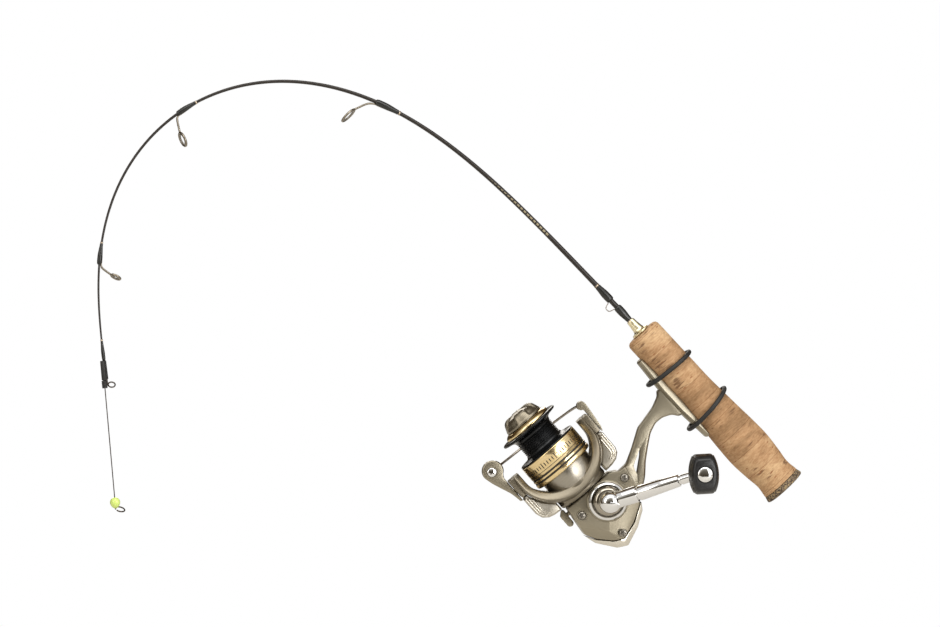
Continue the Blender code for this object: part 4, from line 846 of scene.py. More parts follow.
# o-rings round the grip and the reel's foot: where each crosses low and high, the cork's radius there,
# and how far its near side bows back
orings = {"oringFront": ("oring_front", 15.4, 13.5, 11.35, -0.5),
          "oringRear": ("oring_rear", -19.2, -15.7, 12.0, -1.0)}
oringRadius, underFoot = 1.3, 17.6
for name, (node, lowX, highX, corkRadius, bow) in orings.items():
    across = corkRadius + oringRadius
    points = []
    for i in range(96):
        a = 2 * math.pi * i / 96
        c, s = math.cos(a), math.sin(a)
        points.append((lowX + (highX - lowX) * (s + 1) / 2 + bow * max(0.0, c), across * c,
                       s * (across if s > 0 else underFoot)))
    finishPiece(name, tube(points, oringRadius, 16, closed=True), gripFrame, rubber, node)
print("o-rings made")


# reel casting: foot, stem and open body, in the reel's frame
body = {"far": -11.0, "near": 8.6, "wall": 1.4, "crankOffset": 5.8,
        "screws": ((3.6, 21.9), (3.3, -10.8), (-20.0, 0.5))}
crankZ = body["crankOffset"]
bodyFront = [(8.3, 22.4), (11.5, 17.2), (11.5, -14.4), (3.5, -15.5), (-6.9, -16.6)]
seam = [(-12.6, -13.6), (-19.6, -6.8), (-22.9, -0.6), (-19.6, 9.6), (-14.0, 18.6)]
inner = [(10.1, 15.6), (10.1, -13.0), (3.4, -14.1), (-6.3, -15.0), (-11.6, -12.0), (-18.1, -5.6), (-21.3, -0.5),
         (-18.1, 9.0), (-13.0, 16.6), (0.0, 17.2)]
stem = [(-12.7, 20.6), (-4.4, 31.8), (2.0, 37.9), (7.3, 44.1), (12.4, 50.6), (14.8, 56.4), (14.6, 61.5),
        (12.4, 66.6), (8.5, 69.5), (9.0, 73.5), (26.5, 73.5), (28.5, 69.2), (25.6, 67.4), (22.6, 61.0),
        (20.1, 50.3), (19.5, 47.2), (12.8, 36.6), (8.2, 28.3)]
window = [(10.2, 40.6), (4.6, 30.4), (-0.6, 28.8), (6.6, 37.4)]


def onAxis(bm, x, z):
    # puts a piece turned round Y on an axis that crosses the reel
    return shift(bm, x, 0, z)


shell = slab(rounded(bodyFront + seam, 1.2, closed=True), body["far"], body["near"], 0.9, 3)
shell = carved(shell, slab(inner, body["far"] + body["wall"], body["near"] + 2))
hollow = lathe([(9.0, 0), (9.0, 5.75), (19.0, 5.75), (19.0, 0)], 48)
shell = carved(shell, hollow)
# stem with a chamfer all round, so that a ridge runs down each side
stemLine = rounded([(8.0, 20.0), (-12.0, 19.0)] + stem, 1.6, closed=True)
stalk = slab(stemLine, -3.6, 3.6, 1.35, 1)
for vert in stalk.verts:
    widen = max(0.0, 1 - max(0.0, vert.co.z - 20.0) / 16.0)
    vert.co.y *= 1 + widen + 0.25 * max(0.0, (vert.co.z - 52.0) / 20.0)
stalk = carved(stalk, slab(rounded(window, 0.9, closed=True), -14, 14))
stalk = carved(stalk, slab(inner, body["far"] + body["wall"], body["near"] + 2))
stalk = softened(stalk, 0.22, 2, 24)
# saddle foot, cut to the grip's curve
footShape = [(29.5, 3.0, -13.2, 4.6), (28.6, 3.6, -13.9, 5.6), (20.0, 3.9, -14.5, 6.6), (8.0, 4.0, -15.4, 6.7)]
rings = []
for x, half, bottom, top in [(-x, *rest) for x, *rest in footShape] + footShape[::-1]:
    # widest low down, and sloping back to the cork above that
    widest = bottom + 2.3
    rings.append([(x, 1.6 - top, -8.8), (x, -top, widest), (x, -half - 0.7, bottom + 0.5), (x, -half + 0.6, bottom),
                  (x, half - 0.6, bottom), (x, half + 0.7, bottom + 0.5), (x, top, widest), (x, top - 1.6, -8.8)])
foot = skin(rings)
cradle = [(60.0, 0), (60.0, 11.3)] + [(x, r + 0.3) for x, r in gripLine[4:]] + [(-95.0, 12.9), (-95.0, 0)]
foot = carved(foot, lathe(cradle, 96))
foot = softened(foot, 0.3, 2, 20)
bmesh.ops.transform(foot, matrix=reelFrame.inverted() @ gripFrame, verts=foot.verts)
collar = lathe([(11.3, 5.8), (17.2, 5.8), (17.6, 6.1), (17.6, 6.8), (17.2, 7.2), (11.3, 7.2)], 48, closed=True)
bosses = [onAxis(lathe([(-10.0, 1.35), (8.5, 1.35), (8.5, 2.4), (-10.0, 2.4)], 24, "Y", closed=True), x, z)
          for x, z in body["screws"][1:]]
seat = onAxis(lathe([(-10.0, 5.45), (-7.2, 5.45), (-7.2, 6.6), (-10.0, 6.6)], 40, "Y", closed=True), 0, crankZ)
finishPiece("reelCasting", joined(shell, stalk, foot, collar, seat, *bosses), reelFrame, champagne, "reel_housing")
print("casting made")


# side cover, faceted towards the seam
coverOutline = [(8.0, 26.6)] + bodyFront + seam + [(-12.7, 19.6), (-3.6, 24.5)]
cover = slab(rounded(coverOutline, 1.0, closed=True), 8.9, 11.6, 0.55, 1)
cover = sliced(cover, (-9.5, 11.6, -0.8), (-0.17, 1.0, 0.085))
cover = sliced(cover, (-9.5, 11.6, -0.8), (-0.03, 1.0, -0.07))
cover = sliced(cover, (-12.9, 9.2, -12.0), (-0.24, 1.0, -0.31))
cover = softened(cover, 0.3, 2, 4)
for x, z in body["screws"]:
    well = onAxis(lathe([(6.0, 0), (6.0, 1.35), (10.6, 1.35), (10.6, 3.0), (16.0, 3.0), (16.0, 0)], 32, "Y"), x, z)
    cover = carved(cover, well)
throat = onAxis(lathe([(6.0, 0), (6.0, 4.35), (16.0, 4.35), (16.0, 0)], 48, "Y"), 0, crankZ)
cover = carved(cover, throat)
plateau = onAxis(lathe([(10.2, 4.4), (12.5, 4.4), (12.5, 11.5), (12.35, 11.75), (11.9, 12.0), (11.0, 12.2),
                        (10.2, 12.3)], 96, "Y", closed=True), 0, crankZ)
rim = onAxis(lathe([(6.3, 5.45), (9.4, 5.45), (9.4, 6.6), (6.3, 6.6)], 40, "Y", closed=True), 0, crankZ)
stub = onAxis(lathe([(6.2, 1.5), (9.4, 1.5), (9.4, 2.4), (6.2, 2.4)], 24, "Y", closed=True), -10.2, 3.0)
wells = [onAxis(lathe([(9.2, 2.5), (11.75, 2.5), (11.9, 2.6), (11.9, 3.1), (11.75, 3.25), (9.2, 3.3)], 40, "Y",
                      closed=True), x, z) for x, z in body["screws"][:2]]
finishPiece("facetedSideCover", joined(cover, plateau, rim, stub, *wells), reelFrame, champagne, "side_cover")


# cover screws: one head with its cross recess, set on three points and turned by a fixed seed
screwTree, given = newTree("screwTree", seed=4, turnRange=3.0, Head="NodeSocketObject",
                           Finish="NodeSocketMaterial")
info = addNode(screwTree, "GeometryNodeObjectInfo", links={"Object": given.outputs["Head"]},
               transform_space="ORIGINAL")
spin = addNode(screwTree, "FunctionNodeRandomValue", links={"Max": given.outputs["turnRange"],
                                                            "Seed": given.outputs["seed"]}, data_type="FLOAT")
axis = addNode(screwTree, "ShaderNodeCombineXYZ", links={"Y": spin.outputs[1]})
asTurn = addNode(screwTree, "FunctionNodeEulerToRotation", links={0: axis.outputs[0]})
setOut = addNode(screwTree, "GeometryNodeInstanceOnPoints", links={"Points": given.outputs["Geometry"],
                                                                   "Instance": info.outputs["Geometry"],
                                                                   "Rotation": asTurn.outputs[0]})
closeTree(screwTree, setOut.outputs[0], given)
head = lathe([(4.0, 0), (4.0, 1.05), (11.4, 1.05), (11.4, 2.35), (12.2, 2.4), (12.6, 2.2), (12.9, 1.7), (13.0, 0)],
             40, "Y")
for angle in (0, 90):
    slot = slab([(-1.45, -0.3), (1.45, -0.3), (1.45, 0.3), (-1.45, 0.3)], 12.1, 14.0)
    head = carved(head, turn(slot, angle, "Y"))
headHolder = holder(toMesh(head))
points = bpy.data.meshes.new("points")
points.from_pydata([(x, 0, z) for x, z in body["screws"]], [], [])
screws = runTree(screwTree, points, seed=4, turnRange=3.0, Head=headHolder, Finish=screwSteel)
bpy.data.objects.remove(headHolder)
finishPiece("crossHeadScrews", screws, reelFrame, screwSteel, "cover_screw_1", "cover_screw_2", "cover_screw_3")


# rear bumper: nickel-plated wedge wrapped round the back, ridged on the cover's split line
seamBack = [(x - 0.35, z + math.copysign(0.2, z)) for x, z in seam]
back = [(-13.4, 20.3), (-17.6, 17.7), (-23.3, 9.2), (-27.6, -1.7), (-24.4, -7.5), (-14.1, -15.2), (-7.2, -17.0)]
bumper = slab(seamBack + back, -11.0, 11.2, 0.4, 1)
for side in (1, -1):
    bumper = sliced(bumper, (-18.0, side * 10.8, -0.8), (-0.34, side * 1.0, 0.12))
    bumper = sliced(bumper, (-18.0, side * 10.8, -0.8), (-0.22, side * 1.0, -0.16))
    bumper = sliced(bumper, (-14.0, side * 9.2, -12.4), (-0.40, side * 1.0, -0.52))
bumper = softened(bumper, 0.35, 2, 5)
finishPiece("rearBumper", bumper, reelFrame, silverPlate, "rear_cover")
print("body covers made")


# crank: flange, boss, ball hub with its folding joint, tapered arm, knob
crank = {"direction": -22.3, "length": 54.0, "base": 29.5, "lean": 18.3}
flange = [(12.8, 9.3), (12.8, 11.0), (13.0, 11.25), (13.6, 11.3), (14.3, 10.9), (14.9, 10.2), (15.2, 9.7), (15.0, 9.3)]
finishPiece("chromeFlange", onAxis(lathe(flange, 96, "Y", closed=True), 0, crankZ), reelFrame, chrome, "crank_collar")
shaftCap = [(-14.2, 0), (-14.2, 3.4), (-14.1, 3.9), (-13.8, 4.5), (-13.3, 4.9), (-12.6, 5.0), (-11.3, 5.0), (-11.3, 0)]
finishPiece("shaftCap", onAxis(lathe(shaftCap, 64, "Y"), 0, crankZ), reelFrame, champagne, "shaft_cap")
boss = [(12.9, 0), (12.9, 2.85), (9.3, 2.85), (9.3, 4.0), (13.4, 4.0), (13.4, 8.9), (15.0, 8.95), (15.5, 8.8),
        (16.4, 8.55), (17.1, 8.3), (17.8, 7.8), (18.4, 7.0), (18.6, 6.5), (18.6, 0)]
finishPiece("crankBoss", onAxis(lathe(boss, 72, "Y"), 0, crankZ), reelFrame, smokedChrome, "crank_boss")

hub = [(18.9, 0), (18.9, 4.9), (19.1, 5.5), (19.6, 6.0), (20.4, 6.3), (31.6, 6.3), (32.9, 6.2), (34.2, 5.8),
       (35.3, 5.1), (36.2, 4.2), (36.9, 3.0), (37.2, 1.6), (37.3, 0)]
ball = lathe(hub, 72, "Y")
# the arm, straight from the hub, leaning outward; its groove and its ring near the knob
stretch = 1 / math.cos(math.radians(crank["lean"]))
bar = [(2.0, 0), (2.0, 4.85), (15.5, 4.85), (16.0, 4.6), (16.15, 3.6), (17.15, 3.6), (17.3, 4.3), (17.8, 4.5),
       (28.0, 4.1), (40.2, 3.6), (40.7, 3.3), (41.0, 2.6), (42.0, 2.6), (42.3, 3.0), (46.0, 2.9), (50.2, 2.75),
       (50.5, 2.4), (50.5, 0)]
arm = lathe([(z * stretch, r) for z, r in bar], 48, "Z")
armTurn = Matrix.Rotation(math.radians(crank["direction"]), 4, "Y") @ \
    Matrix.Rotation(math.radians(-crank["lean"]), 4, "X")
bmesh.ops.transform(arm, matrix=Matrix.Translation((0, crank["base"], 0)) @ armTurn, verts=arm.verts)
angle = math.radians(crank["direction"])
armEnd = crank["base"] + crank["length"] * math.tan(math.radians(crank["lean"]))
knobPlace = (crank["length"] * math.sin(angle), armEnd, crank["length"] * math.cos(angle))
eyeRing = lathe([(-3.0, 1.8), (-3.0, 3.5), (-2.8, 3.8), (-2.3, 4.0), (2.0, 4.0), (2.5, 3.8), (2.8, 3.4), (2.8, 1.8)],
                48, "Y", closed=True)
shift(eyeRing, *knobPlace)
arm = carved(arm, shift(lathe([(-6, 0), (-6, 1.8), (6, 1.8), (6, 0)], 32, "Y"), *knobPlace))
# hinge slot across the ball, where the arm folds
slot = slab([(-9.0, -0.55), (0.4, -0.55), (0.4, 0.55), (-9.0, 0.55)], 30.5, 39.0)
slot = turn(slot, 40, "Y")
ball = carved(ball, slot)
crankArm = shift(joined(ball, arm, eyeRing), 0, 0, crankZ)
finishPiece("foldingCrankArm", crankArm, reelFrame, chrome, "crank_arm")

knobFrame = reelFrame @ Matrix.Translation((knobPlace[0], knobPlace[1], knobPlace[2] + crankZ)) @ \
    Matrix.Rotation(math.radians(180 - placing["reelHeading"] + 3.0), 4, "Y")
spindle = [(-4.6, 0), (-4.6, 2.0), (-4.45, 2.4), (-4.2, 2.6), (-3.3, 2.6), (-3.3, 1.5), (19.6, 1.5), (19.6, 0)]
finishPiece("knobSpindle", lathe(spindle, 40, "Y"), knobFrame, chrome, "knob_spindle")
flank = [(8.65 * math.sqrt(1 - 0.62 * (z / 11.9) ** 2), z) for z in [-11.4 + 22.8 * i / 24 for i in range(25)]]
barrel = flank[1:-1] + arc(4.0, 9.6, 1.9, 30, 90, 4) + arc(-4.0, 9.6, 1.9, 90, 150, 4) + \
    [(-x, -z) for x, z in flank[1:-1]] + arc(-4.0, -9.6, 1.9, 210, 270, 4) + arc(4.0, -9.6, 1.9, 270, 330, 4)
rings = []
for y, size in ((3.3, 0.70), (3.5, 0.76), (4.2, 0.84), (5.6, 0.92), (7.5, 0.97), (9.6, 0.995), (12.0, 1.0),
                (14.4, 0.985), (16.5, 0.96), (18.2, 0.915), (19.6, 0.86), (20.8, 0.79), (21.3, 0.74), (21.5, 0.68)):
    rings.append([(x * size, y, z * size) for x, z in barrel])
knob = carved(skin(rings), lathe([(0, 0), (0, 1.8), (20.0, 1.8), (20.0, 4.9), (23.0, 4.9), (23.0, 0)],
                                            48, "Y"))
finishPiece("softKnob", knob, knobFrame, softBlack, "handle_knob")
knobCap = [(20.3, 0), (20.3, 4.4), (20.5, 4.6), (21.4, 4.6), (21.9, 4.35), (22.3, 3.8), (22.55, 2.4), (22.7, 0)]
finishPiece("knobCap", lathe(knobCap, 56, "Y"), knobFrame, chrome, "knob_cap")
print("crank made")


# rotor: two arms joined in a U, its grey cup, arm covers with bright trim lines
rotor = {"pivot": 38.0, "reach": 45.3, "halfWidth": 17.4, "taper": 9.6}


def alongU(angle, longAxis, shortAxis):
    if abs(angle) > 90:
        x = rotor["pivot"] + (abs(angle) - 90) / 20 * (rotor["reach"] - rotor["pivot"])
        return Vector((x, math.copysign(shortAxis, angle)))
    a = math.radians(angle)
    return Vector((rotor["pivot"] - longAxis * math.cos(a), shortAxis * math.sin(a)))


# cross-section of the U: share of the way from its outer to its inner edge, height below the full half width
section = [(0.0, 3.6), (0.04, 2.6), (0.16, 1.1), (0.24, 0.35), (0.30, 0.0), (0.36, 0.1), (0.62, 1.1), (0.86, 2.1),
           (0.96, 2.6), (1.0, 3.3)]
rings = []
for angle in [-110, -105, -100, -95] + list(range(-90, 91, 5)) + [95, 100, 105, 110]:
    outer = alongU(angle, 24.9, 27.2)
    inside = alongU(angle, 17.5, 22.5)
    half = rotor["halfWidth"] - rotor["taper"] * min(1.0, (abs(angle) / 110) ** 2)
    near = [(outer.lerp(inside, share), half - low) for share, low in section]
    rings.append([(p.x, y, p.y) for p, y in near] + [(p.x, -y, p.y) for p, y in reversed(near)])
band = carved(skin(rings), lathe([(8.0, 0), (8.0, 7.8), (18.0, 7.8), (18.0, 0)], 64))
pads = []
for side in (1, -1):
    tipLine = rounded([(33.0, 25.5), (45.3, 25.5), (45.3, 29.8), (33.0, 29.8)], 0.9, closed=True)
    pads.append(slab([(x, side * z) for x, z in tipLine], -7.0, 7.0, 0.5, 3))
bulkhead = lathe([(18.0, 2.65), (20.4, 2.65), (20.4, 14.6), (20.9, 14.6), (20.9, 15.3), (19.4, 16.1), (13.4, 16.2),
                  (12.5, 15.6), (12.3, 15.0), (12.3, 7.8), (18.0, 7.8)], 96, closed=True)
# the rotor frame takes the darker copy of the lacquer, painted shade
finishPiece("rotorFrame", joined(band, bulkhead, *pads), reelFrame, shadeDarkenedLacquer, "rotor")
cup = lathe([(20.0, 14.9), (20.0, 15.75), (20.25, 15.9), (36.6, 15.9), (37.0, 15.6), (37.0, 14.8), (36.7, 14.6),
             (20.2, 14.6)], 128, closed=True)
finishPiece("rotorCup", cup, reelFrame, satinCup, like="rotor")

for name, node, side in (("armCoverLeft", "arm_cover_left", -1), ("armCoverRight", "arm_cover_right", 1)):
    outline = [(18.2, 16.9), (13.2, 16.9), (13.6, 22.0), (14.6, 25.6), (17.0, 28.6), (20.0, 29.7), (31.0, 29.8),
               (32.4, 28.6)]
    for i in range(17):
        x = 32.4 - 12.4 * i / 16
        outline.append((x, 27.4 * math.sqrt(1 - ((rotor["pivot"] - x) / 24.7) ** 2)))
    shape = slab([(x, side * z) for x, z in outline], -8.5, 8.5, 1.3, 1)
    for near in (1, -1):
        shape = sliced(shape, (15.4, near * 8.5, side * 24.0), (-0.30, near * 1.0, side * 0.10))
    finishPiece(name, softened(shape, 0.3, 2, 12), reelFrame, paleLacquer, node)
    # three raised bright lines along the cover's outer edge, on both sides
    lines = []
    for i in range(3):
        drop = 0.75 + i * 1.4
        route = [(31.2 - i * 1.2, 29.8 - drop), (26.0, 29.75 - drop), (20.4, 29.5 - drop),
                 (17.6 + i * 0.3, 28.3 - drop), (15.9 + i * 0.4, 26.3 - drop)]
        path = smoothPath([(x, 0, side * z) for x, z in route], 8)
        for near in (1, -1):
            raised = []
            for point in path:
                lowered = min(1.0, 1.0 - max(0.0, 0.30 * (15.4 - point.x) + 0.10 * (abs(point.z) - 24.0)))
                raised.append(point + Vector((0, near * (7.48 + lowered), 0)))
            lines.append(tube(raised, 0.52, 10))
    finishPiece(name + "Trim", joined(*lines), reelFrame, silverPlate, like=node, slot="crank_collar")
print("rotor made")


# bail: arm with roller, lever, wire with its cone
rollerX, rollerZ = 55.5 - rotor["pivot"], -33.4
bailFrame = reelFrame @ Matrix.Translation((rotor["pivot"], 0, 0))
rollerFrame = bailFrame @ Matrix.Translation((rollerX, 0, rollerZ))
paddle = rounded([(-6.5, -30.2), (10.5, -30.2), (12.5, -28.9)], 0.8) + \
    arc(rollerX + 0.1, rollerZ + 0.9, 6.1, 125, -100, 28) + \
    smoothPath([(12.0, -37.3), (7.0, -35.4), (0.5, -32.9), (-6.0, -31.6)], 4)
armSlab = slab([(p[0], p[1]) for p in paddle], -3.4, 3.0, 0.75, 4)
well = shift(lathe([(-6, 0), (-6, 1.3), (2.2, 1.3), (2.2, 2.9), (6, 2.9), (6, 0)], 48, "Y"), rollerX, 0, rollerZ)
armSlab = carved(armSlab, well)
pinLine = [(25.4, 0), (25.4, 1.7), (25.6, 1.85), (31.0, 1.85), (31.0, 0)]
pivotPin = turn(lathe(pinLine, 32, "Z"), 180, "X")
wellRim = shift(lathe([(2.4, 2.9), (3.0, 2.9), (3.15, 3.05), (3.15, 3.45), (2.95, 3.65), (2.4, 3.7)], 48, "Y",
                      closed=True), rollerX, 0, rollerZ)
finishPiece("bailArm", joined(armSlab, pivotPin, wellRim), bailFrame, champagne, "bail_arm")
screwLine = [(-8.6, 0), (-8.6, 1.0), (2.5, 1.0), (2.5, 2.45), (2.7, 2.6), (3.2, 2.5), (3.5, 1.9), (3.6, 0)]
rollerScrew = lathe(screwLine, 48, "Y")
for angle in (20, 110):
    slot = turn(slab([(-1.4, -0.28), (1.4, -0.28), (1.4, 0.28), (-1.4, 0.28)], 2.9, 5.0), angle, "Y")
    rollerScrew = carved(rollerScrew, slot)
finishPiece("rollerScrew", rollerScrew, rollerFrame, chrome, "roller_screw")
rollerLine = [(-8.0, 1.4), (-3.8, 1.4), (-3.8, 4.35), (-3.95, 4.6), (-4.3, 4.6), (-4.6, 4.1), (-5.2, 3.4),
              (-5.9, 3.25), (-6.6, 3.4), (-7.2, 4.1), (-7.5, 4.6), (-7.8, 4.6), (-8.0, 4.35)]
finishPiece("lineRoller", lathe(rollerLine, 64, "Y", closed=True), rollerFrame, chrome, "line_roller")

route = []
for i in range(81):
    t = i / 80
    a = math.pi * t
    route.append((12.4 + (rollerX - 12.4) * t ** 3, -4.2 - 35.8 * math.sin(a) ** 0.9 - 9.0 * t ** 4,
                  30.4 * math.cos(a) - 0.6 * t))
cone = lathe([(-8.5, 1.3), (-8.5, 5.6), (-8.8, 5.85), (-9.3, 6.0), (-9.8, 5.9), (-10.6, 5.5), (-12.2, 4.4),
              (-14.0, 3.1), (-15.5, 2.0), (-16.6, 1.2), (-17.0, 0)][::-1] + [(-12.0, 1.3)], 72, "Y")
finishPiece("bailWire", tube(route, 0.78, 14), bailFrame, darkPlate, "bail_wire")
finishPiece("bailCone", shift(cone, rollerX - 0.8, 0, rollerZ + 1.6), bailFrame, chrome, like="bail_wire")
lever = rounded([(-7.0, 30.2), (10.0, 30.2), (10.6, 28.8), (12.4, 27.6), (14.6, 28.8), (15.3, 30.6), (14.4, 32.8),
                 (12.4, 33.4), (4.0, 32.6), (-4.0, 31.6)], 1.2, 4, closed=True)
finishPiece("bailLever", joined(slab(lever, -3.2, 3.2, 0.7, 4), lathe(pinLine, 32, "Z")), bailFrame, champagne,
            "bail_lever")
print("bail made")


# spool: black arbor with turned ridges, gold band with two grooves and a row of marks, gold lip
spool = {"ridge": 1.1}
spoolLine = [(57.5, 9.2), (57.5, 1.45), (44.2, 1.45), (44.2, 16.6), (30.3, 16.6), (30.3, 17.6), (45.0, 17.6),
             (45.2, 17.8), (45.2, 18.6), (45.35, 18.85), (45.7, 18.9), (46.0, 18.5), (46.15, 17.4), (46.4, 15.6),
             (46.7, 14.0), (47.2, 12.9), (48.0, 12.35)]
x = 48.4
while x < 57.2:
    spoolLine += [(x, 12.2), (x + 0.12, 12.15), (x + 0.3, 11.85), (x + 0.55, 11.75), (x + 0.8, 11.85),
                  (x + 0.98, 12.15)]
    x += spool["ridge"]
spoolLine += [(57.9, 12.3), (58.5, 12.6), (59.0, 13.2), (59.5, 14.3), (59.9, 15.8), (60.2, 17.6), (60.4, 18.4),
              (60.8, 18.75), (61.3, 18.75), (61.7, 18.45), (61.9, 18.0), (61.9, 9.2)]
finishPiece("spoolBody", lathe(spoolLine, 128, closed=True), reelFrame, blackAnodised, "spool")
bandLine = [(30.0, 17.9), (44.9, 17.9), (44.9, 18.75), (44.7, 18.95), (44.4, 19.0), (36.15, 19.0), (35.95, 18.85),
            (35.9, 18.6), (34.9, 18.6), (34.85, 18.95), (34.7, 19.1), (33.8, 19.1), (33.65, 18.95), (33.6, 18.6),
            (32.7, 18.6), (32.65, 19.0), (32.5, 19.18), (31.3, 19.25), (30.6, 19.1), (30.15, 18.7), (30.0, 18.3)]
finishPiece("goldSkirtBand", lathe(bandLine, 128, closed=True), reelFrame, goldAnodised, "spool_skirt_band")
# black rings in the two grooves are painted shade; the thin ring beside them is a printed baseline
lines = [lathe([(low, 18.3), (low + 0.92, 18.3), (low + 0.92, 18.78), (low, 18.78)], 128, closed=True)
         for low in (34.94, 32.69)]
lines.append(lathe([(37.35, 18.9), (37.65, 18.9), (37.65, 19.04), (37.35, 19.04)], 128, closed=True))
for name, made in zip(("frontGrooveLine", "rearGrooveLine", "markBaseline"), lines):
    finishPiece(name, made, reelFrame, inkAndShadeBlack, like="spool")

# a plain row of short and long marks round the band
ticks = {"count": 60, "radius": 18.99, "place": 40.2, "long": 3.4, "short": 2.2, "wide": 0.6}
tickTree, given = newTree("tickTree", **ticks, Finish="NodeSocketMaterial")
ringPoints = addNode(tickTree, "GeometryNodeMeshCircle", links={"Vertices": given.outputs["count"],
                                                                 "Radius": given.outputs["radius"]})
index = addNode(tickTree, "GeometryNodeInputIndex")
fifth = addNode(tickTree, "ShaderNodeMath", {1: 5.0}, {0: index.outputs[0]}, operation="MODULO")
isLong = addNode(tickTree, "ShaderNodeMath", {1: 0.5}, {0: fifth.outputs[0]}, operation="LESS_THAN")
size = addNode(tickTree, "ShaderNodeMapRange", links={"Value": isLong.outputs[0], "To Min": given.outputs["short"],
                                                      "To Max": given.outputs["long"]})
scaled = addNode(tickTree, "ShaderNodeCombineXYZ", {"X": 0.08}, {"Y": given.outputs["wide"], "Z": size.outputs[0]})
cube = addNode(tickTree, "GeometryNodeMeshCube", {"Size": (1.0, 1.0, 1.0)})
outwards = addNode(tickTree, "GeometryNodeInputPosition")
facing = addNode(tickTree, "FunctionNodeAlignEulerToVector", {"Factor": 1.0}, {"Vector": outwards.outputs[0]}, axis="X")
setOut = addNode(tickTree, "GeometryNodeInstanceOnPoints", links={"Points": ringPoints.outputs[0],
                                                                  "Instance": cube.outputs[0],
                                                                  "Rotation": facing.outputs[0],
                                                                  "Scale": scaled.outputs[0]})
shiftUp = addNode(tickTree, "ShaderNodeCombineXYZ", links={"Z": given.outputs["place"]})
lifted = addNode(tickTree, "GeometryNodeTransform", links={"Geometry": setOut.outputs[0],
                                                           "Translation": shiftUp.outputs[0]})
laid = addNode(tickTree, "GeometryNodeTransform", {"Rotation": (0, math.pi / 2, 0)}, {"Geometry": lifted.outputs[0]})
closeTree(tickTree, laid.outputs[0], given)
marks = runTree(tickTree, bpy.data.meshes.new("none"), **ticks, Finish=inkAndShadeBlack)
finishPiece("bandMarks", marks, reelFrame, inkAndShadeBlack, like="spool")

lipLine = [(62.2, 9.7), (65.0, 9.7), (65.0, 12.1), (64.9, 12.7), (64.4, 13.55), (63.8, 14.2), (63.2, 14.65),
           (62.7, 14.8), (62.3, 14.75), (62.2, 14.5)]
finishPiece("goldLipRing", lathe(lipLine, 112, closed=True), reelFrame, goldAnodised, "spool_lip_ring")

# drag knob: a domed cone, its side scooped out a little between four finger lobes
knobLine = [(61.4, 0), (61.4, 8.7), (65.3, 8.7), (65.3, 11.75), (65.45, 12.05), (65.9, 12.1), (66.5, 11.95),
            (66.8, 11.75), (67.6, 11.5), (68.7, 11.05), (69.8, 10.6), (70.8, 10.0), (71.5, 9.3), (72.0, 8.4),
            (72.3, 7.3), (72.4, 6.0), (72.4, 3.0), (72.4, 0)]
knobDetail = {"lobes": 4, "scoop": 0.07, "lobeWidth": 0.42}
dome = lathe(knobLine, 180)
for vert in dome.verts:
    along, out = vert.co.x, math.hypot(vert.co.y, vert.co.z)
    if along > 66.7 and out > 2.0:
        angle = math.atan2(vert.co.z, vert.co.y) / (2 * math.pi) * knobDetail["lobes"]
        offLobe = abs(angle - round(angle)) * 2
        dip = min(1.0, max(0.0, (offLobe - knobDetail["lobeWidth"]) / 0.22))
        dip = dip * dip * (3 - 2 * dip) * min(1.0, (along - 66.7) / 1.4)
        shrink = 1 - knobDetail["scoop"] * dip * min(1.0, (out - 2.0) / 6.0)
        vert.co.y *= shrink
        vert.co.z *= shrink
        vert.co.x -= 0.9 * dip * min(1.0, max(0.0, (out - 2.0) / 5.0)) * (1 if along > 70 else 0.3)
dome = carved(dome, lathe([(60.0, 0), (60.0, 1.45), (69.9, 1.45), (69.9, 0)], 40))
# the drag knob takes the same darker lacquer, painted shade
finishPiece("dragKnob", dome, reelFrame, shadeDarkenedLacquer, "drag_knob")
print("spool made")


# anti-reverse lever
pad = rounded([(-6.0, -16.6), (-7.1, -18.4), (-6.0, -20.4), (1.6, -20.5), (4.1, -17.6), (3.6, -16.3)], 0.9, 4,
              closed=True)
leverPad = slab(pad, -2.4, 2.4, 0.7, 4)
for i in range(3):
    groove = lathe([(-4.0, 0), (-4.0, 0.45), (4.0, 0.45), (4.0, 0)], 12, "Y")
    leverPad = carved(leverPad, shift(groove, -4.0 + 2.6 * i, 0, -20.7))
stalk = lathe([(-17.2, 0), (-17.2, 1.25), (-11.9, 1.25), (-11.9, 0)], 32, "Z")
finishPiece("antiReverseLever", joined(leverPad, stalk), reelFrame @ Matrix.Translation((8.4, 0, 0)), champagne,
            "anti_reverse_lever")


# pieces inside the reel keep their CAD shapes and take finishes by slot
insideFinish = {"machined_steel": machinedSteel, "brass": brass, "felt": felt, "chrome": chrome,
                "titanium_paint": champagne, "black_plastic": softBlack}
for node in homeOf:
    kept = bpy.data.objects[node]
    if kept.hide_render or slotOf[node] not in insideFinish:
        continue
    for holding in kept.material_slots:
        holding.material = insideFinish[slotOf[node]]
    if not kept.material_slots:
        kept.data.materials.append(insideFinish[slotOf[node]])
print("inner pieces finished")


# floor, light and camera
studio = {"floorLevel": -0.30, "floorTone": "E4E1DB", "floorReach": 1.6, "distance": 6.0, "azimuth": -4.0,
          "elevation": 1.5, "aim": (-0.1263, 0.0, 0.0407), "seenWidth": 0.5405}
# matt painted board
floorPaint = makePlastic("matFloor", studio["floorTone"], 0.9, 900.0, 0.00001, "E0DDD6", Specular_IOR_Level=0.1)
sheet = bmesh.new()
bmesh.ops.create_grid(sheet, x_segments=8, y_segments=8, size=studio["floorReach"])
floorMesh = toMesh(shift(sheet, 0, 0, studio["floorLevel"]))
floorMesh.materials.append(floorPaint)
floor = bpy.data.objects.new("floor", floorMesh)
bpy.context.scene.collection.objects.link(floor)

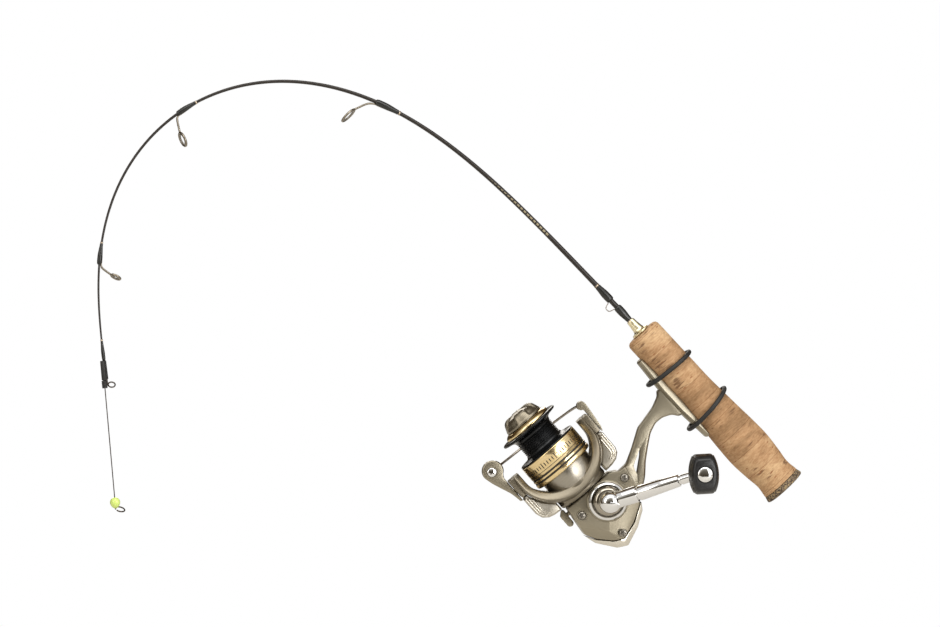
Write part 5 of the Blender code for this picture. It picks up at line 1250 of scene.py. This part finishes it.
# soft boxes: place, what they face, width, height, power and colour
lamps = {"topBox": ((-0.1, -0.9, 1.25), (-0.1, 0, 0), 1.6, 0.9, 14.0, "FFFDF8"),
         "rightBox": ((1.25, -1.7, 0.5), (-0.1, 0, 0), 1.3, 1.4, 17.0, "FFFFFF"),
         "frontStrip": ((0.82, -1.95, 0.05), (-0.05, 0, -0.05), 0.42, 0.9, 9.0, "FFFFFF"),
         "backBox": ((-0.5, 1.9, 0.9), (-0.1, 0, 0), 1.5, 0.8, 14.0, "FFFAF2"),
         "leftBox": ((-1.5, -1.3, 0.5), (-0.1, 0, 0), 0.7, 1.2, 8.0, "FFFAF2")}
for name, (place, facing, wide, tall, power, colour) in lamps.items():
    light = bpy.data.lights.new(name, "AREA")
    light.shape = "RECTANGLE"
    light.size, light.size_y = wide, tall
    light.energy = power
    light.color = linear(colour)[:3]
    lamp = bpy.data.objects.new(name, light)
    lamp.location = place
    lamp.rotation_euler = (Vector(facing) - Vector(place)).to_track_quat("-Z", "Y").to_euler()
    bpy.context.scene.collection.objects.link(lamp)

# the room: white where it is seen, and for reflections bright to the front and above, darker behind
room = bpy.data.worlds.new("softRoom")
bpy.context.scene.world = room
room.use_nodes = True
tree = room.node_tree
tree.nodes.clear()
where = addNode(tree, "ShaderNodeTexCoord")
split = addNode(tree, "ShaderNodeSeparateXYZ", links={0: where.outputs["Generated"]})
height = ramp(tree, addNode(tree, "ShaderNodeMapRange", {"From Min": -1.0, "From Max": 1.0},
                            {"Value": split.outputs[2]}).outputs[0],
              (0.0, "6E6453"), (0.44, "7D7361"), (0.53, "B9B3A8"), (0.66, "F2F0EC"), (1.0, "FFFFFF"))
depth = ramp(tree, addNode(tree, "ShaderNodeMapRange", {"From Min": -1.0, "From Max": 1.0},
                           {"Value": split.outputs[1]}).outputs[0],
             (0.0, "8A867F"), (0.05, "A8A49B"), (0.14, "FFFFFF"), (0.44, "FFFFFF"), (0.6, "6E5A3E"),
             (0.8, "4A3C2A"), (1.0, "6E675C"))
mixed = addNode(tree, "ShaderNodeMix", {0: 1.0}, {6: height, 7: depth}, data_type="RGBA", blend_type="MULTIPLY")
seen = addNode(tree, "ShaderNodeLightPath")
soft = addNode(tree, "ShaderNodeBackground", {"Strength": 0.9}, {"Color": mixed.outputs[2]})
white = addNode(tree, "ShaderNodeBackground", {"Color": (1, 1, 1, 1), "Strength": 1.0})
either = addNode(tree, "ShaderNodeMixShader", links={0: seen.outputs["Is Camera Ray"], 1: soft.outputs[0],
                                                     2: white.outputs[0]})
addNode(tree, "ShaderNodeOutputWorld", links={"Surface": either.outputs[0]})

scene = bpy.context.scene
scene.view_settings.view_transform = "Standard"
lens = bpy.data.cameras.new("camera")
lens.lens = 36.0 * studio["distance"] / studio["seenWidth"]
lens.clip_end = 50.0
camera = bpy.data.objects.new("camera", lens)
azimuth, elevation = math.radians(studio["azimuth"]), math.radians(studio["elevation"])
aim = Vector(studio["aim"])
camera.location = aim + studio["distance"] * Vector((math.sin(azimuth) * math.cos(elevation),
                                                     -math.cos(azimuth) * math.cos(elevation),
                                                     math.sin(elevation)))
camera.rotation_euler = (aim - camera.location).to_track_quat("-Z", "Y").to_euler()
scene.collection.objects.link(camera)
scene.camera = camera
print("studio set")
